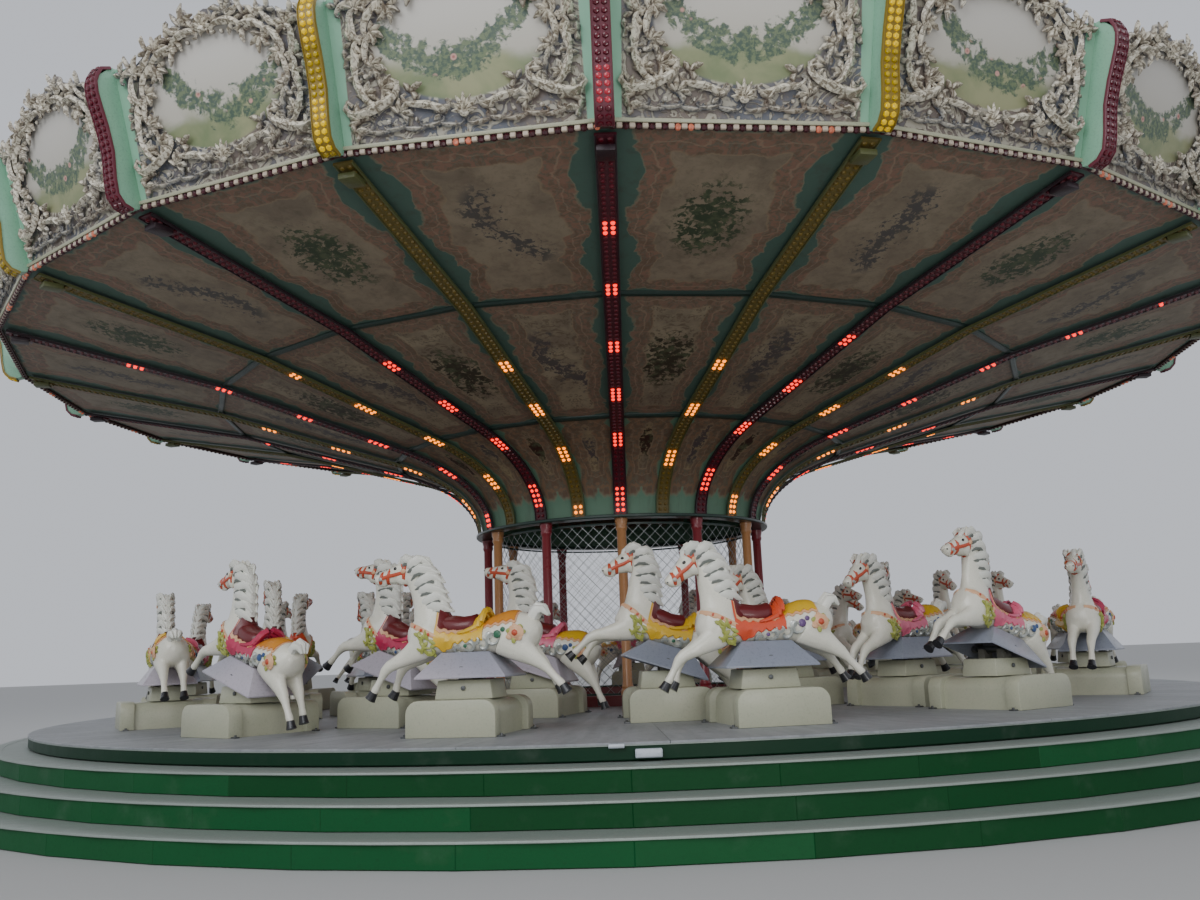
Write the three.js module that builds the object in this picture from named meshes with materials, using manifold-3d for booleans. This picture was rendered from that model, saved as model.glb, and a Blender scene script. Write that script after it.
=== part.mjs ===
// Fairground carousel with rocking horses and a funnel-shaped lit canopy.
// Millimetres, +Z up, origin on the turning axis at ground level.
// Azimuth is counted from -Y (the side that faces the viewer) towards +X.
// At azimuth 0 a piece's local x runs to the viewer's right and local y runs inwards.
import * as THREE from "three";
import { mergeVertices } from "three/addons/utils/BufferGeometryUtils.js";
import Module from "manifold-3d";

const wasm = await Module();
wasm.setup();

// Driving dimensions: the round plinth and the turning deck
const STEP_TOPS = [152, 305, 455];
const STEP_RADII = [7400, 7100, 6800];
const PLINTH_SIDES = 48;
const DECK_TOP = 570;
const DECK_UNDERSIDE = 475;
const DECK_RADIUS = 6510;
const HUB_RADIUS = 1850;
const DECK_SIDES = 60;
const BEARING_RADIUS = 900;
const SEAT_GAP = 0.3;

// Driving dimensions: the three rows of horses, each on a deck ring with the given inner edge
const ROWS = [
  { name: "outer", horses: 15, radius: 5300, first: -12.9, innerEdge: 4775, up: [false, false, true] },
  { name: "middle", horses: 11, radius: 4250, first: -28.4, innerEdge: 3700, up: [true, true, false] },
  { name: "inner", horses: 8, radius: 3150, first: -15.7, innerEdge: HUB_RADIUS, up: [true, false] },
];
const ROCK_ANGLE = 18;
const BASE = { halfLength: 345, halfDepth: 435, height: 262, shoulder: 95 };
const BLOCK = { halfLength: 225, halfDepth: 165, top: 395 };
const REST = { halfLength: 55, halfDepth: 120, grooveHalf: 40, grooveDepth: 40 };
const PIVOT_HEIGHT = 470;
const PIN_CORNER_RADIUS = 28;
const PIN_HALF_LENGTH = 200;

// Driving dimensions: the canopy, as radii at its 24 ribs
const BAYS = 24;
const BAY_ANGLE = 360 / BAYS;
const LIP = { radius: 1760, height: 2626 };
const INNER_RING = { radius: 2794, height: 3519 };
const OUTER_RING = { radius: 4859, height: 4104 };
const RIM = { radius: 6958, height: 4504 };
const BELL_ARC = 60;
const BELL_STEPS = 4;
const SHEET = 25;
const RING_BAR = { width: 60, depth: 25 };
const RIB = { width: 150, top: 27, bottom: 52, setback: 40 };
const BEAM = { inner: 6870, height: 125 };
const ROOF = { innerRadius: 560, rise: 1240 };
const CAP_SIDES = 12;

// Driving dimensions: the rounding boards and the fins between them
const BOARD_FOOT = 4500;
const BOARD_FACE_APOTHEM = 6940;
const BOARD_THICKNESS = 40;
const BOARD_LEAN = 16;
const BOARD_SIDE = 940;
const BOARD_CREST = 1275;
const FIN_WIDTH = 150;
const BOARD_GROUPS = 4;
const BULB_RAIL = { inner: 6966, outer: 7006, bottom: 4472 };

// Driving dimensions: the posts and the wire fence round the centre
const POSTS = 12;
const POST_CIRCLE = 1700;
const POST_RADIUS = 55;
const POST_SIDES = 6;
const KERB = { inner: 1600, outer: 1800, height: 110 };
const LIP_RING = { inner: 1640, outer: 1830, depth: 36 };
const FENCE = { radius: 1628, bar: 20, top: 2540 };

const paint = (color, roughness, metalness = 0) =>
  new THREE.MeshStandardMaterial({ color, roughness, metalness });
const MATERIALS = {
  greenSteps: paint(0x1f5c38, 0.6),
  greyBoards: paint(0x8a8888, 0.75),
  creamHorse: paint(0xd9d5c3, 0.35),
  soffitPaint: paint(0x8d7b68, 0.7),
  darkGreen: paint(0x23483a, 0.6),
  maroonRib: paint(0x5c1f28, 0.5),
  carvedCream: paint(0xc9c6b8, 0.5),
  mintFin: paint(0x7fb394, 0.45),
  redPost: paint(0x8e2430, 0.4),
  wire: paint(0x9a9c9a, 0.4, 0.8),
  steel: paint(0x707478, 0.45, 0.9),
  roofSheet: paint(0x6f7672, 0.6),
};

const radians = THREE.MathUtils.degToRad;
const root = new THREE.Group();

// A closed geometry as a solid, for joining and cutting
function solidOf(geometry) {
  const bare = geometry.clone();
  bare.deleteAttribute("normal");
  bare.deleteAttribute("uv");
  const merged = mergeVertices(bare, 1e-3);
  const solid = new wasm.Manifold(
    new wasm.Mesh({
      numProp: 3,
      vertProperties: merged.attributes.position.array,
      triVerts: new Uint32Array(merged.index.array),
    }),
  );
  return solid;
}

function geometryOf(solid) {
  const mesh = solid.getMesh();
  const points = new Float32Array(mesh.numVert * 3);
  for (let i = 0; i < mesh.numVert; i++) {
    points.set(mesh.vertProperties.subarray(i * mesh.numProp, i * mesh.numProp + 3), i * 3);
  }
  const geometry = new THREE.BufferGeometry();
  geometry.setAttribute("position", new THREE.BufferAttribute(points, 3));
  geometry.setIndex(new THREE.BufferAttribute(new Uint32Array(mesh.triVerts), 1));
  geometry.computeVertexNormals();
  return geometry;
}

function join(geometries) {
  const solids = geometries.map(solidOf);
  return geometryOf(solids.reduce((whole, piece) => whole.add(piece)));
}

function add(name, geometry, material, parent = root) {
  const mesh = new THREE.Mesh(geometry, material);
  mesh.name = name;
  parent.add(mesh);
  return mesh;
}

// A ring or disc turned about the axis from [radius, height] points, with its corners on the ribs
function turned(profile, sides) {
  const points = profile.map(([r, z]) => new THREE.Vector2(r, z));
  const area = THREE.ShapeUtils.area(points);
  if (area < 0) points.reverse();
  points.push(points[0].clone());
  return new THREE.LatheGeometry(points, sides).rotateX(Math.PI / 2);
}

function disc(radius, bottom, top, sides) {
  return new THREE.CylinderGeometry(radius, radius, top - bottom, sides)
    .rotateX(Math.PI / 2)
    .translate(0, 0, (bottom + top) / 2);
}

// A profile in x and z, extruded across y and centred on it
function extrudedAcross(points, depth) {
  const shape = new THREE.Shape(points.map(([x, z]) => new THREE.Vector2(x, z)));
  return new THREE.ExtrudeGeometry(shape, { depth, bevelEnabled: false })
    .rotateX(Math.PI / 2)
    .translate(0, depth / 2, 0);
}

// A closed skin through rings that have the same number of points
function loft(rings) {
  const sides = rings[0].length;
  const corners = rings.flat().flatMap((p) => [p.x, p.y, p.z]);
  const index = [];
  for (let k = 0; k + 1 < rings.length; k++) {
    for (let i = 0; i < sides; i++) {
      const a = k * sides + i;
      const b = k * sides + ((i + 1) % sides);
      index.push(a, b, b + sides, a, b + sides, a + sides);
    }
  }
  const last = (rings.length - 1) * sides;
  for (let i = 1; i + 1 < sides; i++) {
    index.push(0, i + 1, i, last, last + i, last + i + 1);
  }
  const geometry = new THREE.BufferGeometry();
  geometry.setAttribute("position", new THREE.Float32BufferAttribute(corners, 3));
  geometry.setIndex(signedVolume(rings[0], corners, index) < 0 ? index.reverse() : index);
  return geometry;
}

function signedVolume(ring, corners, index) {
  const at = (i) => new THREE.Vector3(corners[3 * i], corners[3 * i + 1], corners[3 * i + 2]);
  const origin = ring[0];
  let volume = 0;
  for (let i = 0; i < index.length; i += 3) {
    const a = at(index[i]).sub(origin);
    const b = at(index[i + 1]).sub(origin);
    const c = at(index[i + 2]).sub(origin);
    volume += a.dot(b.cross(c)) / 6;
  }
  return volume;
}

// A limb along stations [x, z, high, wide] in the plane y
function limb(stations, sides, y = 0) {
  const centres = stations.map(([x, z]) => new THREE.Vector2(x, z));
  const rings = stations.map(([x, z, high, wide], k) => {
    const ahead = centres[Math.min(k + 1, centres.length - 1)];
    const behind = centres[Math.max(k - 1, 0)];
    const along = ahead.clone().sub(behind).normalize();
    const ring = [];
    for (let i = 0; i < sides; i++) {
      const turn = (2 * Math.PI * i) / sides;
      const lift = high * Math.cos(turn);
      ring.push(new THREE.Vector3(x - along.y * lift, y + wide * Math.sin(turn), z + along.x * lift));
    }
    return ring;
  });
  return loft(rings);
}

// Round plinth of three steps that stands on the ground
STEP_RADII.forEach((radius, i) => {
  const bottom = i === 0 ? 0 : STEP_TOPS[i - 1];
  const name = ["plinth_lower_step", "plinth_middle_step", "plinth_upper_step"][i];
  add(name, disc(radius, bottom, STEP_TOPS[i], PLINTH_SIDES), MATERIALS.greenSteps);
});
add(
  "centre_bearing",
  disc(BEARING_RADIUS, STEP_TOPS[2], DECK_UNDERSIDE - SEAT_GAP, PLINTH_SIDES),
  MATERIALS.steel,
);

// Pedestal of one horse, in the horse's own frame with z = 0 on the deck
const SUNK = 5;
function pedestal() {
  const { halfLength, height, shoulder } = BASE;
  const corner = [];
  for (const turn of [0, 45, 90]) {
    const a = radians(turn);
    corner.push([
      halfLength - shoulder * (1 - Math.cos(a)),
      height - shoulder * (1 - Math.sin(a)),
    ]);
  }
  const mirrored = corner.map(([x, z]) => [-x, z]).reverse();
  const outline = [[-halfLength, -SUNK], [halfLength, -SUNK], ...corner, ...mirrored];
  const base = extrudedAcross(outline, 2 * BASE.halfDepth);
  const blockHeight = BLOCK.top - height + SUNK;
  const block = new THREE.BoxGeometry(2 * BLOCK.halfLength, 2 * BLOCK.halfDepth, blockHeight)
    .translate(0, 0, BLOCK.top - blockHeight / 2);
  const rest = extrudedAcross(
    [
      [-REST.halfLength, BLOCK.top - SUNK],
      [REST.halfLength, BLOCK.top - SUNK],
      [REST.halfLength, PIVOT_HEIGHT],
      [REST.grooveHalf, PIVOT_HEIGHT],
      [0, PIVOT_HEIGHT - REST.grooveDepth],
      [-REST.grooveHalf, PIVOT_HEIGHT],
      [-REST.halfLength, PIVOT_HEIGHT],
    ],
    2 * REST.halfDepth,
  );
  return join([base, block, rest]);
}

// The angle of a horse and its pedestal round the turning axis
const seatAngle = (row, k) => radians(row.first + (k * 360) / row.horses);

// Deck rings, each with the pedestals of the row that it carries, and the floor round the axis
function deckRing(outer, inner) {
  return turned(
    [[inner, DECK_UNDERSIDE], [outer, DECK_UNDERSIDE], [outer, DECK_TOP], [inner, DECK_TOP]],
    DECK_SIDES,
  );
}
const onePedestal = pedestal();
ROWS.forEach((row, r) => {
  const outerEdge = r === 0 ? DECK_RADIUS : ROWS[r - 1].innerEdge;
  const pieces = [deckRing(outerEdge, row.innerEdge + SEAT_GAP)];
  for (let k = 0; k < row.horses; k++) {
    pieces.push(
      onePedestal.clone().translate(0, -row.radius, DECK_TOP).rotateZ(seatAngle(row, k)),
    );
  }
  add("deck_" + row.name + "_ring", join(pieces), MATERIALS.greyBoards);
});
add("deck_hub", disc(HUB_RADIUS, DECK_UNDERSIDE, DECK_TOP, DECK_SIDES), MATERIALS.greyBoards);

// Horse with the hood it stands on and its pivot pin, in a frame with its origin on the pivot
function hoodShell() {
  const ring = (halfLength, halfDepth, z) =>
    [[-1, -1], [1, -1], [1, 1], [-1, 1]].map(
      ([x, y]) => new THREE.Vector3(x * halfLength, y * halfDepth, z),
    );
  return loft([ring(215, 140, 540), ring(333, 226, 412), ring(357, 250, 412), ring(190, 130, 600)]);
}

function horse(restAngle) {
  const figure = limb(
    [
      [510, 740, 60, 70],
      [345, 718, 155, 158],
      [110, 694, 128, 165],
      [-100, 683, 106, 162],
      [-320, 760, 165, 140],
      [-380, 1060, 125, 80],
      [-470, 1295, 85, 60],
      [-765, 1200, 42, 40],
    ],
    6,
  );
  const leg = (stations, y) => limb(stations, 3, y);
  const legs = [
    leg([[-340, 640, 85, 60], [-640, 500, 44, 40], [-775, 330, 44, 40]], -85),
    leg([[-320, 630, 85, 60], [-560, 485, 44, 40], [-665, 325, 44, 40]], 85),
    leg([[330, 650, 115, 70], [550, 500, 50, 45], [755, 335, 44, 40]], -90),
    leg([[320, 640, 115, 70], [500, 490, 50, 45], [665, 325, 44, 40]], 90),
  ];
  const tail = leg([[430, 800, 50, 45], [535, 890, 44, 40], [600, 830, 16, 20]], 0);
  const pinSide = PIN_CORNER_RADIUS * Math.SQRT2;
  const pin = new THREE.BoxGeometry(pinSide, 2 * PIN_HALF_LENGTH, pinSide)
    .rotateY(-restAngle)
    .translate(0, 0, PIVOT_HEIGHT);
  return join([figure, ...legs, tail, hoodShell(), pin]).translate(0, 0, -PIVOT_HEIGHT);
}

const restAngles = [0, radians(ROCK_ANGLE)];
const horseGeometries = restAngles.map(horse);
for (const row of ROWS) {
  for (let k = 0; k < row.horses; k++) {
    const place = new THREE.Group();
    place.rotation.z = seatAngle(row, k);
    root.add(place);
    const name = row.name + "_horse_" + String(k + 1).padStart(2, "0");
    const up = row.up[k % row.up.length] ? 1 : 0;
    const mesh = add(name, horseGeometries[up], MATERIALS.creamHorse, place);
    mesh.position.set(0, -row.radius, DECK_TOP + PIVOT_HEIGHT);
    mesh.rotation.y = restAngles[up];
  }
}

// Centre posts that stand in a kerb, and the wire fence inside them
const kerbTop = DECK_TOP + KERB.height;
const lipRingBottom = LIP.height - LIP_RING.depth;
const postPieces = [
  turned(
    [
      [KERB.inner, DECK_TOP + SEAT_GAP],
      [KERB.outer, DECK_TOP + SEAT_GAP],
      [KERB.outer, kerbTop],
      [KERB.inner, kerbTop],
    ],
    BAYS,
  ),
];
for (let k = 0; k < POSTS; k++) {
  const bottom = kerbTop - SUNK;
  const height = lipRingBottom - SEAT_GAP - bottom;
  postPieces.push(
    new THREE.CylinderGeometry(POST_RADIUS, POST_RADIUS, height, POST_SIDES)
      .rotateX(Math.PI / 2)
      .translate(0, -POST_CIRCLE, bottom + height / 2)
      .rotateZ(radians((k * 360) / POSTS)),
  );
}
add("centre_posts", join(postPieces), MATERIALS.redPost);

function fenceRail(bottom) {
  const { radius, bar } = FENCE;
  return turned(
    [[radius - bar, bottom], [radius, bottom], [radius, bottom + bar], [radius - bar, bottom + bar]],
    POSTS,
  );
}

function fenceBraces(bottom) {
  const { radius, bar, top } = FENCE;
  const corner = (k, z) => {
    const turn = (2 * Math.PI * k) / POSTS;
    const reach = radius - bar / 2;
    return new THREE.Vector3(reach * Math.sin(turn), -reach * Math.cos(turn), z + bar / 2);
  };
  const pieces = [];
  for (let k = 0; k < POSTS; k++) {
    const from = corner(k, k % 2 ? top : bottom);
    const to = corner(k + 1, k % 2 ? bottom : top);
    const along = to.clone().sub(from);
    pieces.push(
      new THREE.CylinderGeometry(bar * 0.45, bar * 0.45, along.length(), 3).applyMatrix4(
        new THREE.Matrix4()
          .makeRotationFromQuaternion(
            new THREE.Quaternion().setFromUnitVectors(
              new THREE.Vector3(0, 1, 0),
              along.clone().normalize(),
            ),
          )
          .setPosition(from.clone().add(to).multiplyScalar(0.5)),
      ),
    );
  }
  return pieces;
}
const fenceBottom = kerbTop + SEAT_GAP;
add(
  "centre_fence",
  join([fenceRail(fenceBottom), fenceRail(FENCE.top), ...fenceBraces(fenceBottom)]),
  MATERIALS.wire,
);

// Canopy: the ceiling's profile from the lip up and out to the rim
const lerp = (a, b, t) => a + (b - a) * t;
function bellPoint(step) {
  const turn = radians((BELL_ARC * step) / BELL_STEPS);
  const end = radians(BELL_ARC);
  return {
    radius: LIP.radius + ((INNER_RING.radius - LIP.radius) * (1 - Math.cos(turn))) / (1 - Math.cos(end)),
    height: LIP.height + ((INNER_RING.height - LIP.height) * Math.sin(turn)) / Math.sin(end),
  };
}
const bell = Array.from({ length: BELL_STEPS + 1 }, (_, i) => bellPoint(i));
const ceiling = [...bell, OUTER_RING, RIM];

function ceilingSheet(points, fromGap, toGap) {
  const under = points.map((p) => [p.radius, p.height]);
  under[0] = [under[0][0] + fromGap, under[0][1]];
  under[under.length - 1] = [under[under.length - 1][0] - toGap, under[under.length - 1][1]];
  const over = under.map(([r, z]) => [r, z + SHEET]);
  return turned([...under, ...over.reverse()], BAYS);
}
const bellUnder = bell.map((p) => [p.radius, p.height + SEAT_GAP]);
bellUnder[BELL_STEPS][0] -= SEAT_GAP;
const bellOver = bell.map((p, i) => {
  const inward = SHEET * Math.cos(radians((BELL_ARC * i) / BELL_STEPS));
  const upward = SHEET * Math.sin(radians((BELL_ARC * i) / BELL_STEPS));
  return [p.radius - inward, p.height + SEAT_GAP + upward];
});
bellOver[BELL_STEPS] = [bellUnder[BELL_STEPS][0], bellUnder[BELL_STEPS][1] + SHEET];
add("soffit_bell", turned([...bellUnder, ...bellOver.reverse()], BAYS), MATERIALS.soffitPaint);
add("soffit_middle", ceilingSheet([bell[BELL_STEPS], OUTER_RING], SEAT_GAP, 0), MATERIALS.soffitPaint);
add("soffit_outer", ceilingSheet([OUTER_RING, RIM], SEAT_GAP, 0), MATERIALS.soffitPaint);

function ceilingHeight(radius) {
  const i = ceiling.findIndex((point) => point.radius >= radius);
  const [a, b] = [ceiling[i - 1], ceiling[i]];
  return lerp(a.height, b.height, (radius - a.radius) / (b.radius - a.radius));
}

function ringBar({ radius }) {
  const half = RING_BAR.width / 2;
  const edge = (side, drop) => [
    radius + side * half,
    ceilingHeight(radius + side * half) - SEAT_GAP - drop,
  ];
  return turned([edge(-1, 0), edge(1, 0), edge(1, RING_BAR.depth), edge(-1, RING_BAR.depth)], BAYS);
}
add("outer_ring_bar", ringBar(OUTER_RING), MATERIALS.darkGreen);
add("inner_ring_bar", ringBar(INNER_RING), MATERIALS.darkGreen);

// Ribs that carry the lamps, joined by a collar at the lip
function ribLine(distance) {
  const end = RIM.radius - RIB.setback;
  const line = [...bell, OUTER_RING, { radius: end, height: ceilingHeight(end) }];
  return line.map((point, i) => {
    const ahead = line[Math.min(i + 1, line.length - 1)];
    const behind = line[Math.max(i - 1, 0)];
    const along = new THREE.Vector2(ahead.radius - behind.radius, ahead.height - behind.height);
    if (i === 0) along.set(0, 1);
    along.normalize();
    return [point.radius + along.y * distance, point.height - along.x * distance];
  });
}

function rib() {
  const top = ribLine(RIB.top);
  const bottom = ribLine(RIB.bottom);
  const half = RIB.width / 2;
  const rings = top.map(([r, z], i) => {
    const [lowR, lowZ] = bottom[i];
    return [
      new THREE.Vector3(-half, -r, z),
      new THREE.Vector3(half, -r, z),
      new THREE.Vector3(half, -lowR, lowZ),
      new THREE.Vector3(-half, -lowR, lowZ),
    ];
  });
  return loft(rings);
}
const COLLAR_HEIGHT = 45;
const ribPieces = [
  turned(
    [
      [LIP.radius + RIB.top, LIP.height + SEAT_GAP],
      [LIP.radius + RIB.bottom, LIP.height + SEAT_GAP],
      [LIP.radius + RIB.bottom, LIP.height + COLLAR_HEIGHT],
      [LIP.radius + RIB.top, LIP.height + COLLAR_HEIGHT],
    ],
    BAYS,
  ),
];
for (let k = 0; k < BAYS; k++) {
  ribPieces.push(rib().translate(0, 0, SEAT_GAP).rotateZ(radians(k * BAY_ANGLE)));
}
add("light_ribs", join(ribPieces), MATERIALS.maroonRib);
add(
  "lip_ring",
  turned(
    [
      [LIP_RING.inner, lipRingBottom],
      [LIP_RING.outer, lipRingBottom],
      [LIP_RING.outer, LIP.height],
      [LIP_RING.inner, LIP.height],
    ],
    BAYS,
  ),
  MATERIALS.darkGreen,
);

// Rim beam behind the boards' feet, roof and roof cap
const lean = radians(BOARD_LEAN);
const beamBottom = RIM.height + SHEET + SEAT_GAP;
const beamTop = beamBottom + BEAM.height;
function behindBoards(height) {
  const backFoot = BOARD_FOOT + BOARD_THICKNESS * Math.sin(lean);
  const apothem =
    BOARD_FACE_APOTHEM - BOARD_THICKNESS * Math.cos(lean) + (height - backFoot) * Math.tan(lean);
  return (apothem - SEAT_GAP) / Math.cos(radians(BAY_ANGLE / 2));
}
add(
  "rim_beam",
  turned(
    [
      [BEAM.inner, beamBottom],
      [behindBoards(beamBottom), beamBottom],
      [behindBoards(beamTop), beamTop],
      [BEAM.inner, beamTop],
    ],
    BAYS,
  ),
  MATERIALS.steel,
);
const roofEdge = beamTop + SEAT_GAP;
const roofTop = roofEdge + ROOF.rise;
add(
  "canopy_roof",
  turned(
    [
      [ROOF.innerRadius, roofTop],
      [RIM.radius, roofEdge],
      [RIM.radius, roofEdge + SHEET],
      [ROOF.innerRadius, roofTop + SHEET],
    ],
    BAYS,
  ),
  MATERIALS.roofSheet,
);
const capFoot = roofTop + SHEET + SEAT_GAP;
const capProfile = [[0, 0], [640, 0], [640, 40], [540, 110], [280, 190], [90, 215], [60, 290], [0, 400]];
add(
  "roof_cap",
  new THREE.LatheGeometry(
    capProfile.map(([r, z]) => new THREE.Vector2(r, capFoot + z)),
    CAP_SIDES,
  ).rotateX(Math.PI / 2),
  MATERIALS.mintFin,
);

// Rounding boards that lean outwards, with a radial fin at each rib
function board() {
  const footHalf = BOARD_FACE_APOTHEM * Math.tan(radians(BAY_ANGLE / 2)) - 20;
  const sideHalf = footHalf + BOARD_SIDE * Math.sin(lean) * Math.tan(radians(BAY_ANGLE / 2));
  const rise = BOARD_CREST - BOARD_SIDE;
  const crest = [
    [sideHalf, BOARD_SIDE],
    [sideHalf * 0.5, BOARD_SIDE + rise * 0.45],
    [sideHalf * 0.3, BOARD_SIDE + rise],
  ];
  const mirrored = crest.map(([x, v]) => [-x, v]).reverse();
  const outline = [[-footHalf, 0], [footHalf, 0], ...crest, ...mirrored];
  return extrudedAcross(outline, BOARD_THICKNESS)
    .translate(0, BOARD_THICKNESS / 2, 0)
    .rotateX(lean)
    .translate(0, -BOARD_FACE_APOTHEM, BOARD_FOOT);
}

// The fin's outline as [radius, height above the deck]
const FIN_OUTLINE = [
  [6964, 3932], [7012, 3932], [7012, 3880], [7070, 3863], [7210, 3915], [7244, 4200], [7400, 4600],
  [7440, 4740], [7310, 4905], [7240, 4905],
];
function fin() {
  const outline = FIN_OUTLINE.map(([r, z]) => [r, z + DECK_TOP]);
  const depth = FIN_WIDTH;
  const shape = new THREE.Shape(outline.map(([r, z]) => new THREE.Vector2(r, z)));
  return new THREE.ExtrudeGeometry(shape, { depth, bevelEnabled: false })
    .rotateX(Math.PI / 2)
    .translate(0, depth / 2, 0)
    .rotateZ(-Math.PI / 2);
}

const baysPerGroup = BAYS / BOARD_GROUPS;
for (let g = 0; g < BOARD_GROUPS; g++) {
  const pieces = [];
  for (let k = 0; k < baysPerGroup; k++) {
    const azimuth = (g * baysPerGroup + k) * BAY_ANGLE;
    pieces.push(fin().rotateZ(radians(azimuth)));
    pieces.push(board().rotateZ(radians(azimuth + BAY_ANGLE / 2)));
  }
  const whole = pieces.map(solidOf).reduce((all, piece) => all.add(piece));
  const nextFinSpace = new THREE.BoxGeometry(FIN_WIDTH + 2 * SEAT_GAP, BOARD_CREST, 2 * BOARD_CREST)
    .translate(0, -BOARD_FACE_APOTHEM, BOARD_FOOT)
    .rotateZ(radians((g + 1) * baysPerGroup * BAY_ANGLE));
  const group = geometryOf(whole.subtract(solidOf(nextFinSpace)));
  add("rounding_boards_" + (g + 1), group, MATERIALS.carvedCream);
}
add(
  "rim_bulb_rail",
  turned(
    [
      [BULB_RAIL.inner, BULB_RAIL.bottom],
      [BULB_RAIL.outer, BULB_RAIL.bottom],
      [BULB_RAIL.outer, BOARD_FOOT - SEAT_GAP],
      [BULB_RAIL.inner, BOARD_FOOT - SEAT_GAP],
    ],
    BAYS,
  ),
  MATERIALS.darkGreen,
);

export default root;
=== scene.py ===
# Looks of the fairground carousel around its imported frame. Metres, +Z up, turning axis at the origin.
# Azimuth is counted from -Y, the side that faces the viewer, towards +X.
from math import atan2, cos, degrees, exp, hypot, pi, radians, sin, tan

import bmesh
import bpy
import numpy as np
from mathutils import Matrix, Vector
from mathutils.bvhtree import BVHTree


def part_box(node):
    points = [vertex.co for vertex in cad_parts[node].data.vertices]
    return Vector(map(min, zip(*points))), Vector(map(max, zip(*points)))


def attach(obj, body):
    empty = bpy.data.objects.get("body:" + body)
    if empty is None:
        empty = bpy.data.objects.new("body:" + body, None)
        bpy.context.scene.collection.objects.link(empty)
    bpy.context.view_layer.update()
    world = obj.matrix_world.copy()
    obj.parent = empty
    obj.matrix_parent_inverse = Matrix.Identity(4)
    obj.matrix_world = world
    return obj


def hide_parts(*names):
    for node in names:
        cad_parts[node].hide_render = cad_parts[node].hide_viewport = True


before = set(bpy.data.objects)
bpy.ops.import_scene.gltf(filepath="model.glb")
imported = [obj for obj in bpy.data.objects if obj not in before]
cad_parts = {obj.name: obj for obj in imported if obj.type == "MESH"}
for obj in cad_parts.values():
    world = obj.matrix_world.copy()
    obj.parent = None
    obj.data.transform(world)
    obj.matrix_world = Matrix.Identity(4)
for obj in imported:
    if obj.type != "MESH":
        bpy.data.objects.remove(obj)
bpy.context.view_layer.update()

# The studio: a plain pale floor under even grey daylight, with the camera where the viewer stood,
# a little lower than the horses' heads and tilted up at the canopy.
EYE = Vector((0.0, -13.28, 1.106))
LENS = 31.5
VIEW_REACH = 300
HEADING = -0.0176
TILT = 0.1933
ROLL = -0.0376
SKY = (0.80, 0.83, 0.90, 1.0)
SKY_STRENGTH = 0.80
FLOOR_GREY = (0.42, 0.42, 0.41, 1.0)
FLOOR_SIZE = 240.0
FLOOR_DROP = 0.004
LIGHTS = (
    # name, place, aim, size, power, colour
    ("front_sky", (-7, -19, 12), (0, 0, 3), 12, 1500, (0.95, 0.97, 1.0)),
    ("high_sky", (4, 6, 17), (0, 0, 4), 16, 1300, (0.93, 0.96, 1.0)),
    ("low_front", (3, -15, 2.0), (0, -3, 1.4), 3, 160, (1.0, 0.98, 0.95)),
)


def deselect():
    if bpy.context.mode != "OBJECT":
        bpy.ops.object.mode_set(mode="OBJECT")
    bpy.ops.object.select_all(action="DESELECT")


def select(*objects):
    deselect()
    for obj in objects:
        obj.select_set(True)
    bpy.context.view_layer.objects.active = objects[0]


right = Vector((cos(HEADING), -sin(HEADING), 0))
level = Vector((sin(HEADING), cos(HEADING), 0))
ahead = cos(TILT) * level + sin(TILT) * Vector((0, 0, 1))
above = -sin(TILT) * level + cos(TILT) * Vector((0, 0, 1))
camera_right = cos(ROLL) * right + sin(ROLL) * above
camera_up = -sin(ROLL) * right + cos(ROLL) * above
camera_turn = Matrix((camera_right, camera_up, -ahead)).transposed().to_4x4()
bpy.ops.object.camera_add()
camera = bpy.context.object
camera.matrix_world = Matrix.Translation(EYE) @ camera_turn
camera.data.lens = LENS
camera.data.clip_end = VIEW_REACH
bpy.context.scene.camera = camera

world = bpy.data.worlds.new("overcast")
bpy.context.scene.world = world
world.use_nodes = True
world.node_tree.nodes["Background"].inputs["Color"].default_value = SKY
world.node_tree.nodes["Background"].inputs["Strength"].default_value = SKY_STRENGTH
for name, place, aim, size, power, colour in LIGHTS:
    bpy.ops.object.light_add(type="AREA", location=place)
    light = bpy.context.object
    light.name = name
    light.rotation_euler = (Vector(aim) - Vector(place)).to_track_quat("-Z", "Y").to_euler()
    light.data.size = size
    light.data.energy = power
    light.data.color = colour


def plain_material(name):
    material = bpy.data.materials.new(name)
    material.use_nodes = True
    tree = material.node_tree
    return material, tree, tree.nodes["Principled BSDF"]


def wear(obj, *materials, number=None):
    """Gives an object its materials. number is the one that all its faces take."""
    obj.data.materials.clear()
    for material in materials:
        obj.data.materials.append(material)
    if number is not None:
        for polygon in obj.data.polygons:
            polygon.material_index = number
    return obj


deselect()
bpy.ops.mesh.primitive_plane_add(size=FLOOR_SIZE, location=(0, 0, -FLOOR_DROP))
studio_floor = bpy.context.object
studio_floor.name = "studio_floor"
floor_paper, floor_tree, floor_shader = plain_material("floor_paper")
floor_shader.inputs["Base Color"].default_value = FLOOR_GREY
floor_shader.inputs["Roughness"].default_value = 0.9
wear(studio_floor, floor_paper)

# The round plinth: three steps of green boards with light metal treads that end in a rolled nosing.
# Each riser is a ring of flat boards butted together, closed to the ground, some boards repainted
# in a brighter green.
STEPS = ("plinth_lower_step", "plinth_middle_step", "plinth_upper_step")
RISER_BOARDS = 48
RISER_SET_BACK = 0.006
JOINT_WIDTH = 0.004
NOSING_FACE = 0.022
NOSING_REACH = 0.012
RISER_SHORT = 0.012
TREAD_THICK = 0.014
CENTRE_HOLE = 0.0001
STEP_GREENS = ("04431f", "0d522b")
STEP_DIRT = "12251a"
BRIGHT_RUN = 45
BRIGHT_FROM = (8, -6, -23)


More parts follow.
